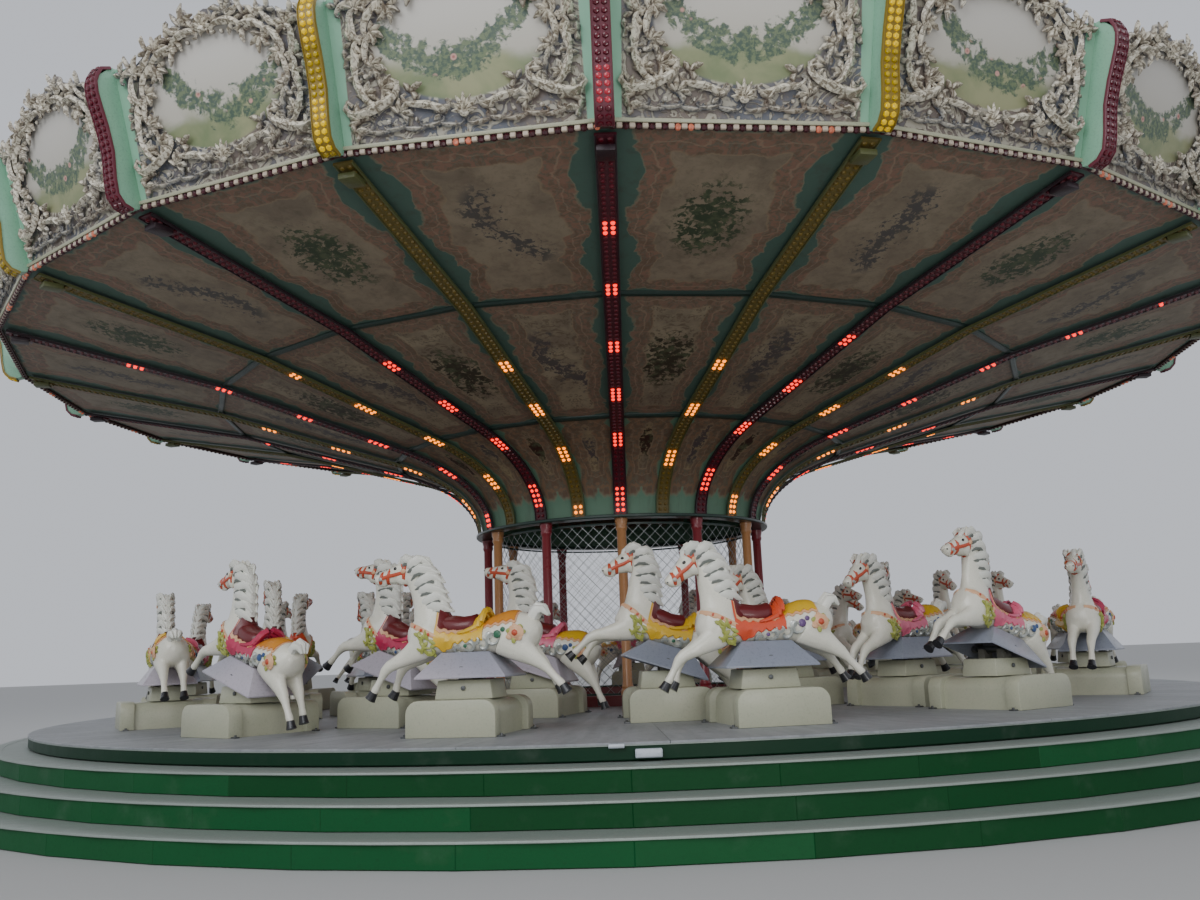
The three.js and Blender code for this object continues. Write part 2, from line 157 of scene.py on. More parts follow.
def linear(code):
    """A colour given as six hexadecimal digits, as linear red, green, blue and alpha."""
    parts = [int(code[i:i + 2], 16) / 255 for i in (0, 2, 4)]
    return tuple(p / 12.92 if p <= 0.04045 else ((p + 0.055) / 1.055) ** 2.4 for p in parts) + (1.0,)


def node(tree, kind, inputs=None, **settings):
    """A shader node with its settings. inputs gives sockets a value, or a link from another socket."""
    made = tree.nodes.new(kind)
    for name, value in settings.items():
        setattr(made, name, value)
    for name, value in (inputs or {}).items():
        feed(made.inputs[name], value)
    return made


def feed(socket, value):
    if isinstance(value, Shade):
        value = value.socket
    if isinstance(value, bpy.types.NodeSocket):
        socket.id_data.links.new(value, socket)
    else:
        socket.default_value = value


class Shade:
    """A value that changes over a surface. Sums and products of shades become math nodes."""

    def __init__(self, socket):
        self.socket = socket
        self.tree = socket.id_data

    def math(self, operation, *values, clamp=False):
        made = node(self.tree, "ShaderNodeMath", operation=operation, use_clamp=clamp)
        for socket, value in zip(made.inputs, values):
            feed(socket, value)
        return Shade(made.outputs[0])

    def __add__(self, other):
        return self.math("ADD", self, other)

    def __radd__(self, other):
        return self.math("ADD", other, self)

    def __sub__(self, other):
        return self.math("SUBTRACT", self, other)

    def __rsub__(self, other):
        return self.math("SUBTRACT", other, self)

    def __mul__(self, other):
        return self.math("MULTIPLY", self, other)

    def __truediv__(self, other):
        return self.math("DIVIDE", self, other)

    def __mod__(self, other):
        return self.math("MODULO", self, other)

    def __pow__(self, power):
        return self.math("POWER", self, power)

    def __abs__(self):
        return self.math("ABSOLUTE", self)

    def of(self, operation):
        return self.math(operation, self)

    def least(self, other):
        return self.math("MINIMUM", self, other)

    def most(self, other):
        return self.math("MAXIMUM", self, other)

    def clamped_sum(self, other):
        return self.math("ADD", self, other, clamp=True)

    def ramp(self, low, high):
        """0 below low, 1 above high, smooth between."""
        limits = {"Value": self, "From Min": low, "From Max": high}
        made = node(self.tree, "ShaderNodeMapRange", limits, interpolation_type="SMOOTHSTEP")
        return Shade(made.outputs["Result"])

    def mix(self, first, second, blend="MIX"):
        """The first colour where the shade is 0 and the second where it is 1."""
        made = node(self.tree, "ShaderNodeMix", data_type="RGBA", blend_type=blend)
        for number, value in ((0, self), (6, first), (7, second)):
            feed(made.inputs[number], linear(value) if isinstance(value, str) else value)
        return Shade(made.outputs[2])


def noise(vector, scale, detail=3.0, roughness=0.5, distortion=0.0):
    sockets = {"Vector": vector, "Scale": scale, "Detail": detail, "Roughness": roughness,
               "Distortion": distortion}
    return Shade(node(vector.tree, "ShaderNodeTexNoise", sockets).outputs["Fac"])


def group(name, inputs, outputs):
    """A shader node group with its sockets: inputs are (name, kind, default), outputs are (name, kind).

    Gives back the group, its inputs as shades and its output sockets."""
    tree = bpy.data.node_groups.new(name, "ShaderNodeTree")
    for title, kind, default in inputs:
        socket = tree.interface.new_socket(title, in_out="INPUT", socket_type="NodeSocket" + kind)
        if default is not None:
            socket.default_value = default
    for title, kind in outputs:
        tree.interface.new_socket(title, in_out="OUTPUT", socket_type="NodeSocket" + kind)
    inside = node(tree, "NodeGroupInput")
    shades = {title: Shade(inside.outputs[title]) for title, kind, default in inputs}
    return tree, shades, node(tree, "NodeGroupOutput").inputs


def effect(tree, group_tree, **inputs):
    """Places a group in a tree. A socket's name is given with _ for each space."""
    made = node(tree, "ShaderNodeGroup", node_tree=group_tree)
    for name, value in inputs.items():
        feed(made.inputs[name.replace("_", " ")], linear(value) if isinstance(value, str) else value)
    return {socket.name: Shade(socket) for socket in made.outputs}


def place_in(tree, space="Object"):
    """Where a point is: on the object, or in a piece's own vector attribute of that name."""
    if space == "Object":
        return Shade(node(tree, "ShaderNodeTexCoord").outputs["Object"])
    return Shade(node(tree, "ShaderNodeAttribute", attribute_name=space).outputs["Vector"])


def finish(shader, height=None, strength=0.5, distance=0.0015, **sockets):
    """Sets a surface's sockets, named with _ for each space, and raises a height as bumps."""
    for name, value in sockets.items():
        feed(shader.inputs[name.replace("_", " ")], value)
    if height is not None:
        bumps = {"Strength": strength, "Distance": distance, "Height": height}
        relief = node(shader.id_data, "ShaderNodeBump", bumps)
        feed(shader.inputs["Normal"], relief.outputs["Normal"])


# Outdoor paint: large faded patches, fine dirt specks and a slightly uneven gloss
weathered, given, out = group(
    "weathered_paint",
    [("Vector", "Vector", None), ("Paint", "Color", (0.5, 0.5, 0.5, 1)),
     ("Dirt", "Color", (0.1, 0.09, 0.07, 1)), ("Dirt Amount", "Float", 0.3), ("Gloss", "Float", 0.4),
     ("Patch Size", "Float", 2.0)],
    [("Color", "Color"), ("Roughness", "Float"), ("Height", "Float")],
)
scaled = node(weathered, "ShaderNodeVectorMath", operation="SCALE")
feed(scaled.inputs[0], given["Vector"])
feed(scaled.inputs["Scale"], given["Patch Size"])
scaled = Shade(scaled.outputs[0])
patches = noise(scaled, 1.0, 4, 0.6)
specks = noise(scaled, 14.0, 4, 0.7)
faded = patches.ramp(0.35, 0.75).mix(given["Paint"], (0.93, 0.95, 0.93, 1.0), "MULTIPLY")
lightened = (patches.ramp(0.55, 0.85) * 0.05).mix(faded, (0.7, 0.7, 0.66, 1.0))
dirt_mask = specks.ramp(0.5, 0.72) * given["Dirt Amount"]
feed(out["Color"], dirt_mask.mix(lightened, given["Dirt"]))
feed(out["Roughness"], (given["Gloss"] + (patches - 0.5) * 0.25).clamped_sum(dirt_mask * 0.3))
feed(out["Height"], noise(scaled, 55.0, 2, 0.6) * 0.3 + specks)


def painted(name, colour, gloss=0.4, dirt=0.3, patch=2.0, bump=0.0015, metallic=0.0, coat=0.0,
            dirt_colour="2a251d", space="Object", shine=0.5):
    """A weathered paint. space is Object, or the name of a piece's own vector attribute."""
    material, tree, shader = plain_material(name)
    paint = effect(tree, weathered, Vector=place_in(tree, space), Paint=colour, Dirt=dirt_colour,
                   Dirt_Amount=dirt, Gloss=gloss, Patch_Size=patch)
    finish(shader, paint["Height"], 0.5, bump, Base_Color=paint["Color"], Roughness=paint["Roughness"],
           Metallic=metallic, Coat_Weight=coat, Coat_Roughness=0.15, Specular_IOR_Level=shine)
    return material


def edit(obj, **chosen):
    """Opens an object in edit mode, all of it selected, or only its faces that a test picks."""
    select(obj)
    bpy.ops.object.mode_set(mode="EDIT")
    bpy.ops.mesh.select_all(action="SELECT")
    if chosen:
        bpy.ops.mesh.select_mode(type="FACE")
        bpy.ops.mesh.select_all(action="DESELECT")
        shape = bmesh.from_edit_mesh(obj.data)
        for face in shape.faces:
            face.select_set(chosen["faces"](face))
        bmesh.update_edit_mesh(obj.data)


def finish_edit(outwards=False):
    """Leaves edit mode, after turning all faces outwards where that is asked."""
    if outwards:
        bpy.ops.mesh.select_all(action="SELECT")
        bpy.ops.mesh.normals_make_consistent(inside=False)
    bpy.ops.object.mode_set(mode="OBJECT")


def loop_of(points, filled="NOTHING"):
    """A closed loop of edges through points, or the flat face inside it."""
    deselect()
    bpy.ops.mesh.primitive_circle_add(vertices=len(points), fill_type=filled)
    obj = bpy.context.object
    for vertex, point in zip(obj.data.vertices, points):
        vertex.co = point
    return obj


def turned(profile, steps, sweep=2 * pi, start=0.0):
    """A closed [radius, height] profile spun about the axis from the azimuth start."""
    obj = loop_of([(radius * sin(start), -radius * cos(start), height) for radius, height in profile])
    edit(obj)
    whole = abs(sweep - 2 * pi) < 1e-6
    if not whole:
        bpy.ops.mesh.edge_face_add()
    bpy.ops.mesh.spin(steps=steps, angle=sweep, center=(0, 0, 0), axis=(0, 0, 1), use_auto_merge=whole)
    bpy.ops.mesh.select_all(action="SELECT")
    bpy.ops.mesh.remove_doubles(threshold=1e-5)
    finish_edit(outwards=True)
    return obj


def turned_bar(inner, outer, foot, top, steps):
    """A plain ring with a rectangular section."""
    return turned([[inner, foot], [outer, foot], [outer, top], [inner, top]], steps)


def joined(*objects):
    select(*objects)
    bpy.ops.object.join()
    return bpy.context.object


def fitted(obj, name, body, slot, *nodes, smooth=32):
    """Names a finished piece, settles its place in its mesh and sets it on its body."""
    select(obj)
    bpy.ops.object.transform_apply(location=True, rotation=True, scale=True)
    bpy.ops.object.shade_smooth_by_angle(angle=radians(smooth))
    obj.name = name
    obj.data.name = name
    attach(obj, body)
    if nodes:
        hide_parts(*nodes)


def azimuth_of(point):
    return degrees(atan2(point[0], -point[1])) % 360


step_paints = [painted(name, colour, 0.55, 0.15, 3.0, shine=0.2, dirt_colour=STEP_DIRT)
               for name, colour in zip(("step_green_dark", "step_green_bright"), STEP_GREENS)]
nosing_grey = painted("nosing_grey", "8f9891", 0.5, 0.25, 9.0, 0.003, metallic=0.3)
for index, step in enumerate(STEPS):
    low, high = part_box(step)
    radius, top = high.x, high.z
    riser = turned_bar(CENTRE_HOLE, radius - RISER_SET_BACK, low.z, top - RISER_SHORT, RISER_BOARDS)
    wear(riser, *step_paints)
    for polygon in riser.data.polygons:
        run = (azimuth_of(polygon.center) - BRIGHT_FROM[index]) % 360 // BRIGHT_RUN
        polygon.material_index = int(run % 2)
    edit(riser, faces=lambda face: abs(face.normal.z) < 0.3
         and face.calc_center_median().xy.length > radius - 0.1)
    bpy.ops.mesh.inset(thickness=JOINT_WIDTH, depth=0.004, use_individual=True)
    finish_edit()
    lip = radius + NOSING_REACH - RISER_SET_BACK
    tread = turned(
        [[lip - 0.02, top - NOSING_FACE], [lip, top - NOSING_FACE + 0.006], [lip, top - 0.01],
         [lip - 0.004, top - 0.003], [lip - 0.012, top], [radius - 0.09, top],
         [radius - 0.094, top - 0.003], [CENTRE_HOLE, top - 0.003], [CENTRE_HOLE, top - TREAD_THICK],
         [lip - 0.02, top - TREAD_THICK]], 2 * RISER_BOARDS)
    wear(tread, nosing_grey)
    fitted(joined(riser, tread), step + "_boards", "plinth", "step_green", step)

# The bearing housing under the deck: a short steel drum with a bolted flange.
# It was turned from plate and stands out of sight in the gap between plinth and deck.
BEARING_INNER = 0.5
FLANGE = {"reach": 0.04, "thick": 0.006}
bearing_steel = painted("bearing_steel", "5c6062", 0.45, 0.5, 6.0, metallic=0.7)
low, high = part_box("centre_bearing")
neck = high.x - FLANGE["reach"]
bearing = turned(
    [[BEARING_INNER, low.z], [high.x, low.z], [high.x, low.z + FLANGE["thick"]],
     [neck, low.z + FLANGE["thick"] + 0.001], [neck, high.z - FLANGE["thick"]],
     [high.x, high.z - FLANGE["thick"] + 0.001], [high.x, high.z], [BEARING_INNER, high.z]], 64)
wear(bearing, bearing_steel)
fitted(bearing, "centre_bearing_ring", "plinth", "steel", "centre_bearing")

# The turning deck: grey boards in 30 wedge plates on a dark green drum, with a light metal edge.
# The plates are screwed down edge to edge, and their radial joints stay open by a few millimetres.
DECK_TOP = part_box("deck_hub")[1].z
DECK_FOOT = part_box("deck_hub")[0].z
DECK_RADIUS = 6.505
DRUM_INNER = 6.30
HUB_RADIUS = 1.86
HUB_BORE = 0.4
PLATES = 30
PLATE_FROM = 2.2
PLATE_GAP = 0.0035
PLATE_THICK = 0.014
PLATE_FOOT = DECK_TOP - PLATE_THICK
EDGE_STRIP = {"width": 0.03, "height": 0.009}
FASCIA_DROP = 0.016
EASED = 0.003
SLIT = 0.0005
TURNTABLE = "turntable"


def repeated(name, source, places):
    """One object of copies of an object's mesh. Each place is a matrix, or a matrix and a material number."""
    points = np.array([list(v.co) + [1] for v in source.data.vertices])
    faces = [list(p.vertices) for p in source.data.polygons]
    own = [p.material_index for p in source.data.polygons]
    smooth = [p.use_smooth for p in source.data.polygons]
    all_points, all_faces, numbers = [], [], []
    for place in places:
        matrix, number = place if isinstance(place, tuple) else (place, None)
        first = len(all_points) * len(points)
        all_points.append(points @ np.array(matrix).T[:, :3])
        all_faces.extend([first + i for i in face] for face in faces)
        numbers.extend(own if number is None else [number] * len(faces))
    mesh = bpy.data.meshes.new(name)
    mesh.from_pydata(np.concatenate(all_points).tolist(), [], all_faces)
    mesh.polygons.foreach_set("material_index", numbers)
    mesh.polygons.foreach_set("use_smooth", smooth * len(places))
    for material in source.data.materials:
        mesh.materials.append(material)
    obj = bpy.data.objects.new(name, mesh)
    bpy.context.scene.collection.objects.link(obj)
    return obj


def removed(*objects):
    for obj in objects:
        bpy.data.objects.remove(obj)


def about_axis(azimuth):
    return Matrix.Rotation(radians(azimuth), 4, "Z")


def combined(x, y, z):
    made = node(x.tree, "ShaderNodeCombineXYZ")
    for socket, value in zip(made.inputs, (x, y, z)):
        feed(socket, value)
    return Shade(made.outputs[0])


def split(vector):
    made = node(vector.tree, "ShaderNodeSeparateXYZ", {"Vector": vector})
    return [Shade(socket) for socket in made.outputs]


# Distance along the rim, radius and height of a point, for patterns that run round the axis
RIM_LENGTH = 6.0
polar, given, out = group(
    "round_the_axis", [("Vector", "Vector", None)],
    [("Vector", "Vector"), ("Azimuth", "Float"), ("Radius", "Float")],
)
x, y, z = split(given["Vector"])
turn = x.math("ARCTAN2", x, y * -1.0)
reach = (x ** 2.0 + y ** 2.0).of("SQRT")
feed(out["Vector"], combined(turn * RIM_LENGTH, reach, z))
feed(out["Azimuth"], turn * (180 / pi))
feed(out["Radius"], reach)

deck_paint, tree, shader = plain_material("deck_grey_boards")
place = place_in(tree)
round_deck = effect(tree, polar, Vector=place)["Vector"]
stretch = node(tree, "ShaderNodeMapping", {"Vector": round_deck, "Scale": (5.0, 0.5, 1.0)})
streaks = noise(Shade(stretch.outputs[0]), 1.6, 5, 0.65)
worn = effect(tree, weathered, Vector=place, Paint=streaks.ramp(0.3, 0.75).mix("84878a", "9b9da0"),
              Dirt="3a3835", Dirt_Amount=0.22, Gloss=0.48, Patch_Size=1.3)
finish(shader, streaks, 0.2, 0.003, Base_Color=worn["Color"], Roughness=worn["Roughness"])

plate_sweep = radians(360 / PLATES) - PLATE_GAP / DECK_RADIUS
deck_plate = turned([[HUB_RADIUS, PLATE_FOOT], [DECK_RADIUS, PLATE_FOOT], [DECK_RADIUS, DECK_TOP - EASED],
                     [DECK_RADIUS - EASED, DECK_TOP], [HUB_RADIUS, DECK_TOP]],
                    4, plate_sweep, radians(PLATE_FROM))
wear(deck_plate, deck_paint)
deck_floor = repeated("deck_floor", deck_plate, [about_axis(k * 360 / PLATES) for k in range(PLATES)])
removed(deck_plate)
fitted(deck_floor, "deck_floor", TURNTABLE, "deck_grey", "deck_outer_ring", "deck_middle_ring",
       "deck_inner_ring")

fascia_green = painted("fascia_green", "042f1a", 0.5, 0.12, 3.0, shine=0.25, dirt_colour=STEP_DIRT)
drum_top = PLATE_FOOT - EDGE_STRIP["height"]
fascia_foot = DECK_FOOT - FASCIA_DROP
fascia = turned([[DRUM_INNER, fascia_foot], [DECK_RADIUS - 0.014, fascia_foot],
                 [DECK_RADIUS - 0.006, fascia_foot + 0.008], [DECK_RADIUS - 0.006, drum_top],
                 [DRUM_INNER, drum_top]], 120)
strip_inner = DECK_RADIUS - EDGE_STRIP["width"]
edge_strip = turned([[strip_inner, drum_top + SLIT], [DECK_RADIUS - 0.001, drum_top + SLIT],
                     [DECK_RADIUS, drum_top + 0.002], [DECK_RADIUS, PLATE_FOOT - SLIT],
                     [strip_inner, PLATE_FOOT - SLIT]], 120)
wear(fascia, fascia_green, nosing_grey)
wear(edge_strip, nosing_grey)
underside = turned_bar(HUB_RADIUS, DRUM_INNER, DECK_FOOT + 0.01, drum_top, 60)
wear(underside, bearing_steel)
fitted(joined(fascia, edge_strip, underside), "deck_drum", TURNTABLE, "trim_green")

hub_edge = HUB_RADIUS - 0.01
hub = turned([[HUB_BORE, DECK_FOOT], [hub_edge, DECK_FOOT], [hub_edge, DECK_TOP - EASED],
              [hub_edge - EASED, DECK_TOP], [HUB_BORE, DECK_TOP]], 60)
lid = turned_bar(CENTRE_HOLE, HUB_BORE - 0.004, DECK_FOOT + 0.004, DECK_TOP - 0.002, 48)
wear(hub, deck_paint)
wear(lid, bearing_steel)
fitted(joined(hub, lid), "deck_hub_plate", TURNTABLE, "deck_grey", "deck_hub")

# Two small fittings on the front of the drum: a sealed junction box and a low lamp over it.
# Both are moulded housings held by two screws each.
BOX_DROP = 0.068
BOX_AZIMUTH = 1.0


def settled(obj):
    """Takes an object's place, turn and size into its mesh."""
    select(obj)
    bpy.ops.object.transform_apply(location=True, rotation=True, scale=True)
    return obj


def modified(obj, kind, **settings):
    """Adds a modifier with its settings and applies it."""
    modifier = obj.modifiers.new(kind.lower(), kind)
    for name, value in settings.items():
        setattr(modifier, name, value)
    select(obj)
    bpy.ops.object.modifier_apply(modifier=modifier.name)
    return obj


def eased(obj, width, segments=2, sharper=30):
    """Bevels the edges that are sharper than an angle in degrees."""
    return modified(obj, "BEVEL", width=width, segments=segments, limit_method="ANGLE",
                    angle_limit=radians(sharper))


def cube(size, place, bevel=0.004, segments=2):
    """A box with bevelled edges."""
    deselect()
    bpy.ops.mesh.primitive_cube_add(size=1, location=place)
    obj = bpy.context.object
    obj.scale = size
    settled(obj)
    if bevel:
        edit(obj)
        bpy.ops.mesh.bevel(offset=bevel, segments=segments, affect="EDGES")
        finish_edit()
    return obj


def disc(radius, depth, place, axis="Z", sides=16, bevel=0.0):
    deselect()
    turns = {"X": (0, pi / 2, 0), "Y": (pi / 2, 0, 0), "Z": (0, 0, 0)}
    bpy.ops.mesh.primitive_cylinder_add(vertices=sides, radius=radius, depth=depth, location=place,
                                        rotation=turns[axis])
    obj = settled(bpy.context.object)
    return eased(obj, bevel) if bevel else obj


box_height = DECK_TOP - BOX_DROP
box_body = cube((0.17, 0.05, 0.055), (0, -DECK_RADIUS - 0.01, box_height), 0.008)
box_lid = cube((0.155, 0.012, 0.042), (0, -DECK_RADIUS - 0.038, box_height))
lamp_body = disc(0.014, 0.10, (-0.20, -DECK_RADIUS - 0.008, DECK_TOP - 0.020), "X", 12, 0.004)
screws = [disc(0.006, 0.01, (x, -DECK_RADIUS - 0.044, box_height), "Y", 8) for x in (-0.06, 0.06)]
fitting = joined(box_body, box_lid, lamp_body, *screws)
wear(fitting, painted("box_grey", "c4cad2", 0.4, 0.25, 20.0))
fitting.data.transform(about_axis(BOX_AZIMUTH))
fitted(fitting, "deck_junction_box", TURNTABLE, "deck_grey")

# Pedestals: a pair of painted cheeks with round shoulders, a narrower middle and a tapered block on
# top that carries the bearing of the horse's pivot bar. Feet with bolts hold each one to the deck.
ROWS = (
    {"name": "outer", "horses": 15, "radius": 5.30, "first": -12.9, "up": (False, False, True)},
    {"name": "middle", "horses": 11, "radius": 4.25, "first": -28.4, "up": (True, True, False)},
    {"name": "inner", "horses": 8, "radius": 3.15, "first": -15.7, "up": (True, False)},
)
PIVOT = 0.47
CHEEK = {"half": 0.345, "height": 0.262, "shoulder": 0.095, "face": 0.435, "thick": 0.125}
BLOCK = {"size": (0.46, 0.33, 0.14), "height": 0.065, "taper": (0.90, 0.94), "top": 0.13}
REST = {"half": 0.055, "notch": 0.041, "near": 0.06, "far": 0.12}
bolt_steel = painted("bolt_steel", "6d6f70", 0.4, 0.6, 40.0, metallic=0.8)
pedestal_paints = (painted("pedestal_grey", "b4b49d", 0.42, 0.16, 5.0, 0.001, coat=0.1),
                   painted("bearing_block", "77756c", 0.5, 0.5, 12.0), bolt_steel)


def slab(outline, near, far, bevel=0.006, segments=2):
    """A flat plate: an outline in x and z, from y near to y far, with its rims bevelled."""
    obj = loop_of([(x, near, z) for x, z in outline], "NGON")
    edit(obj)
    bpy.ops.mesh.extrude_region_move(TRANSFORM_OT_translate={"value": (0, far - near, 0)})
    finish_edit(outwards=True)
    return eased(obj, bevel, segments, 40) if bevel else obj


def shouldered(half, height, shoulder, steps=5):
    """The outline of a cheek: square at its foot, with two round shoulders."""
    arc = [(half - shoulder * (1 - cos(a)), height - shoulder * (1 - sin(a)))
           for a in (pi / 2 * i / steps for i in range(steps + 1))]
    return [(-half, 0), (half, 0)] + arc + [(-x, z) for x, z in reversed(arc)]


def pedestal():
    half, height, shoulder, face, thick = CHEEK.values()
    outline = shouldered(half, height, shoulder)
    cheeks = [slab(outline, side * face, side * (face - thick), 0.008) for side in (-1, 1)]
    inside = face - thick + 0.01
    middle = slab(shouldered(half - 0.05, height - 0.012, shoulder, 4), -inside, inside, 0)
    block = cube(BLOCK["size"], (0, 0, height + BLOCK["height"]), 0)
    for vertex in block.data.vertices:
        if vertex.co.z > height + BLOCK["height"]:
            vertex.co.x *= BLOCK["taper"][0]
            vertex.co.y *= BLOCK["taper"][1]
    eased(block, 0.008)
    paint_work = wear(joined(*cheeks, middle, block), *pedestal_paints)
    top, rest, notch = height + BLOCK["top"], REST["half"], REST["notch"]
    groove = [(-rest, top), (rest, top), (rest, PIVOT), (notch, PIVOT), (0, PIVOT - notch), (-notch, PIVOT),
              (-rest, PIVOT)]
    rests = [slab(groove, side * REST["far"], side * REST["near"], 0.002, 1) for side in (-1, 1)]
    metal = [disc(0.018, 0.012, (0, side * 0.168, height + 0.075), "Y", 12, 0.003) for side in (-1, 1)]
    for x in (-1, 1):
        for y in (-1, 1):
            foot = (x * (half + 0.018), y * (face - 0.05))
            metal.append(cube((0.06, 0.05, 0.012), (*foot, 0.006), 0.002, 1))
            metal.append(disc(0.011, 0.014, (foot[0] + x * 0.008, foot[1], 0.018), "Z", 6))
    return joined(paint_work, wear(joined(*rests), *pedestal_paints, number=1),
                  wear(joined(*metal), *pedestal_paints, number=2))


def seat(row, k):
    """Where horse k of a row stands: from the horse's own frame, z = 0 on the deck, to the carousel's."""
    turn = about_axis(row["first"] + k * 360 / row["horses"])
    return turn @ Matrix.Translation((0, -row["radius"], DECK_TOP))


def copied(source, name, matrix=Matrix.Identity(4)):
    obj = source.copy()
    obj.data = source.data.copy()
    obj.name = name
    obj.data.transform(matrix)
    bpy.context.scene.collection.objects.link(obj)
    return obj


pedestal_master = pedestal()
for row in ROWS:
    for k in range(row["horses"]):
        made = copied(pedestal_master, "%s_pedestal_%02d" % (row["name"], k + 1), seat(row, k))
        fitted(made, made.name, TURNTABLE, "deck_grey", "deck_%s_ring" % row["name"])
removed(pedestal_master)

# The horses: hollow moulded shells in cream gloss, with carved mane, saddle, cloths and harness
# moulded on and painted. Each is bolted to the hood that rocks on the pivot bar of its pedestal.
# A horse is made once in its own frame, nose towards -x, with z = 0 on the deck.
ROCK = 18
SKIN_VOXEL = 0.009
SKIN_FACES = 2800
# Stations of the trunk, neck, head and legs: x, z, half height, half width
TRUNK = (
    (0.560, 0.742, 0.055, 0.060), (0.525, 0.742, 0.112, 0.105), (0.44, 0.736, 0.150, 0.145),
    (0.32, 0.722, 0.150, 0.160), (0.16, 0.700, 0.122, 0.156), (0.0, 0.686, 0.104, 0.150),
    (-0.14, 0.688, 0.108, 0.150), (-0.27, 0.708, 0.134, 0.155), (-0.37, 0.735, 0.160, 0.148),
    (-0.445, 0.755, 0.135, 0.118), (-0.490, 0.765, 0.070, 0.066),
)
NECK = (
    (-0.29, 0.76, 0.175, 0.125), (-0.320, 0.88, 0.142, 0.098), (-0.345, 0.99, 0.122, 0.076),
    (-0.378, 1.10, 0.112, 0.066), (-0.425, 1.20, 0.106, 0.060), (-0.475, 1.27, 0.092, 0.055),
    (-0.520, 1.30, 0.060, 0.048),
)
HEAD = (
    (-0.455, 1.275, 0.080, 0.045), (-0.505, 1.258, 0.108, 0.064), (-0.565, 1.246, 0.098, 0.064),
    (-0.625, 1.236, 0.078, 0.054), (-0.685, 1.224, 0.060, 0.043), (-0.735, 1.213, 0.050, 0.040),
    (-0.768, 1.205, 0.047, 0.042), (-0.788, 1.198, 0.034, 0.033),
)
EAR = ((-0.500, 1.325, 0.026, 0.018), (-0.507, 1.365, 0.024, 0.017), (-0.516, 1.395, 0.014, 0.010),
       (-0.522, 1.412, 0.004, 0.004))
FORELEG = (
    (-0.300, 0.700, 0.120, 0.070), (-0.385, 0.640, 0.100, 0.062), (-0.470, 0.590, 0.074, 0.052),
    (-0.560, 0.545, 0.054, 0.043), (-0.632, 0.512, 0.046, 0.041), (-0.668, 0.478, 0.040, 0.037),
    (-0.700, 0.424, 0.027, 0.026), (-0.730, 0.372, 0.027, 0.026), (-0.746, 0.344, 0.033, 0.031),
    (-0.766, 0.312, 0.027, 0.027),
)
HINDLEG = (
    (0.300, 0.690, 0.130, 0.085), (0.390, 0.632, 0.112, 0.078), (0.470, 0.578, 0.084, 0.060),
    (0.535, 0.530, 0.060, 0.047), (0.580, 0.496, 0.048, 0.042), (0.622, 0.452, 0.033, 0.031),
    (0.672, 0.396, 0.028, 0.027), (0.706, 0.356, 0.034, 0.032), (0.728, 0.330, 0.028, 0.028),
)
LEGS = ((FORELEG, -0.085, 0.0), (FORELEG, 0.085, 0.105), (HINDLEG, -0.090, 0.028), (HINDLEG, 0.090, -0.062))
# Muscles on both sides of the horse, each a place, a size and a turn: shoulder, haunch, jaw, brow, nostril
MUSCLES = (
    ((-0.345, 0.088, 0.715), (0.105, 0.070, 0.135), 0.4),
    ((0.385, 0.090, 0.700), (0.145, 0.082, 0.130), 0.6),
    ((-0.545, 0.036, 1.222), (0.058, 0.034, 0.075), 0.0),
    ((-0.590, 0.047, 1.292), (0.034, 0.016, 0.020), -0.2),
    ((-0.772, 0.026, 1.218), (0.022, 0.016, 0.020), 0.0),
)
SADDLE = (
    (-0.222, 0.800, 0.055, 0.070), (-0.195, 0.800, 0.085, 0.108), (-0.130, 0.795, 0.088, 0.126),
    (-0.050, 0.788, 0.082, 0.130), (0.020, 0.792, 0.084, 0.126), (0.070, 0.800, 0.088, 0.104),
    (0.092, 0.805, 0.060, 0.065),
)
# Tips and roots of the locks of the mane, x and z, from the poll down
MANE_LINE = ((-0.455, 1.345), (-0.350, 1.335), (-0.285, 1.265), (-0.245, 1.185), (-0.218, 1.10),
             (-0.195, 1.02), (-0.170, 0.945))
MANE_ROOT = ((-0.540, 1.320), (-0.500, 1.290), (-0.465, 1.225), (-0.435, 1.145), (-0.405, 1.065),
             (-0.385, 0.985), (-0.350, 0.915))
# Curls on the trunk: x, turn from the top in degrees, size, start and sweep in radians
SILVER_CURLS = (
    (0.235, 94, 0.058, 0.3, 5.4), (0.045, 106, 0.055, 2.6, -5.2), (0.150, 110, 0.050, 5.0, 4.8),
    (-0.045, 116, 0.045, 1.4, 4.6), (0.105, 92, 0.036, 3.4, -4.4),
)
LEAF_CURLS = (
    (-0.300, 98, 0.056, 1.0, 5.0), (-0.268, 122, 0.048, 3.6, -4.6), (-0.340, 80, 0.040, 5.6, 4.4),
    (-0.345, 112, 0.040, 2.4, -4.4),
)
LEAVES = (
    (-0.250, 98, 0.5), (-0.240, 108, -0.3), (-0.300, 86, 1.2), (-0.345, 96, 0.9), (-0.310, 110, -0.8),
    (-0.290, 130, 0.2), (-0.330, 124, -1.1), (-0.370, 88, 0.4), (-0.255, 134, 1.0),
)
FLOWER = (0.415, 92)
DEGREE = 0.0027
CLOTH_THICK = 0.008
SCALLOP = 4
HOOD = {"length": 0.357, "depth": 0.250, "foot": 0.410, "top_length": 0.190, "top_depth": 0.130, "top": 0.600}
HOOD_SHEET = 0.005
HOOD_HEM = 0.014
NECK_FROM = -0.10
NECK_FOOT = 0.86
NECK_SET = 0.94
POLL = (-0.462, 1.285)
HEAD_BLEND = 0.09
NODS = (0, -29, -21)
HORSE_SMOOTH = 38


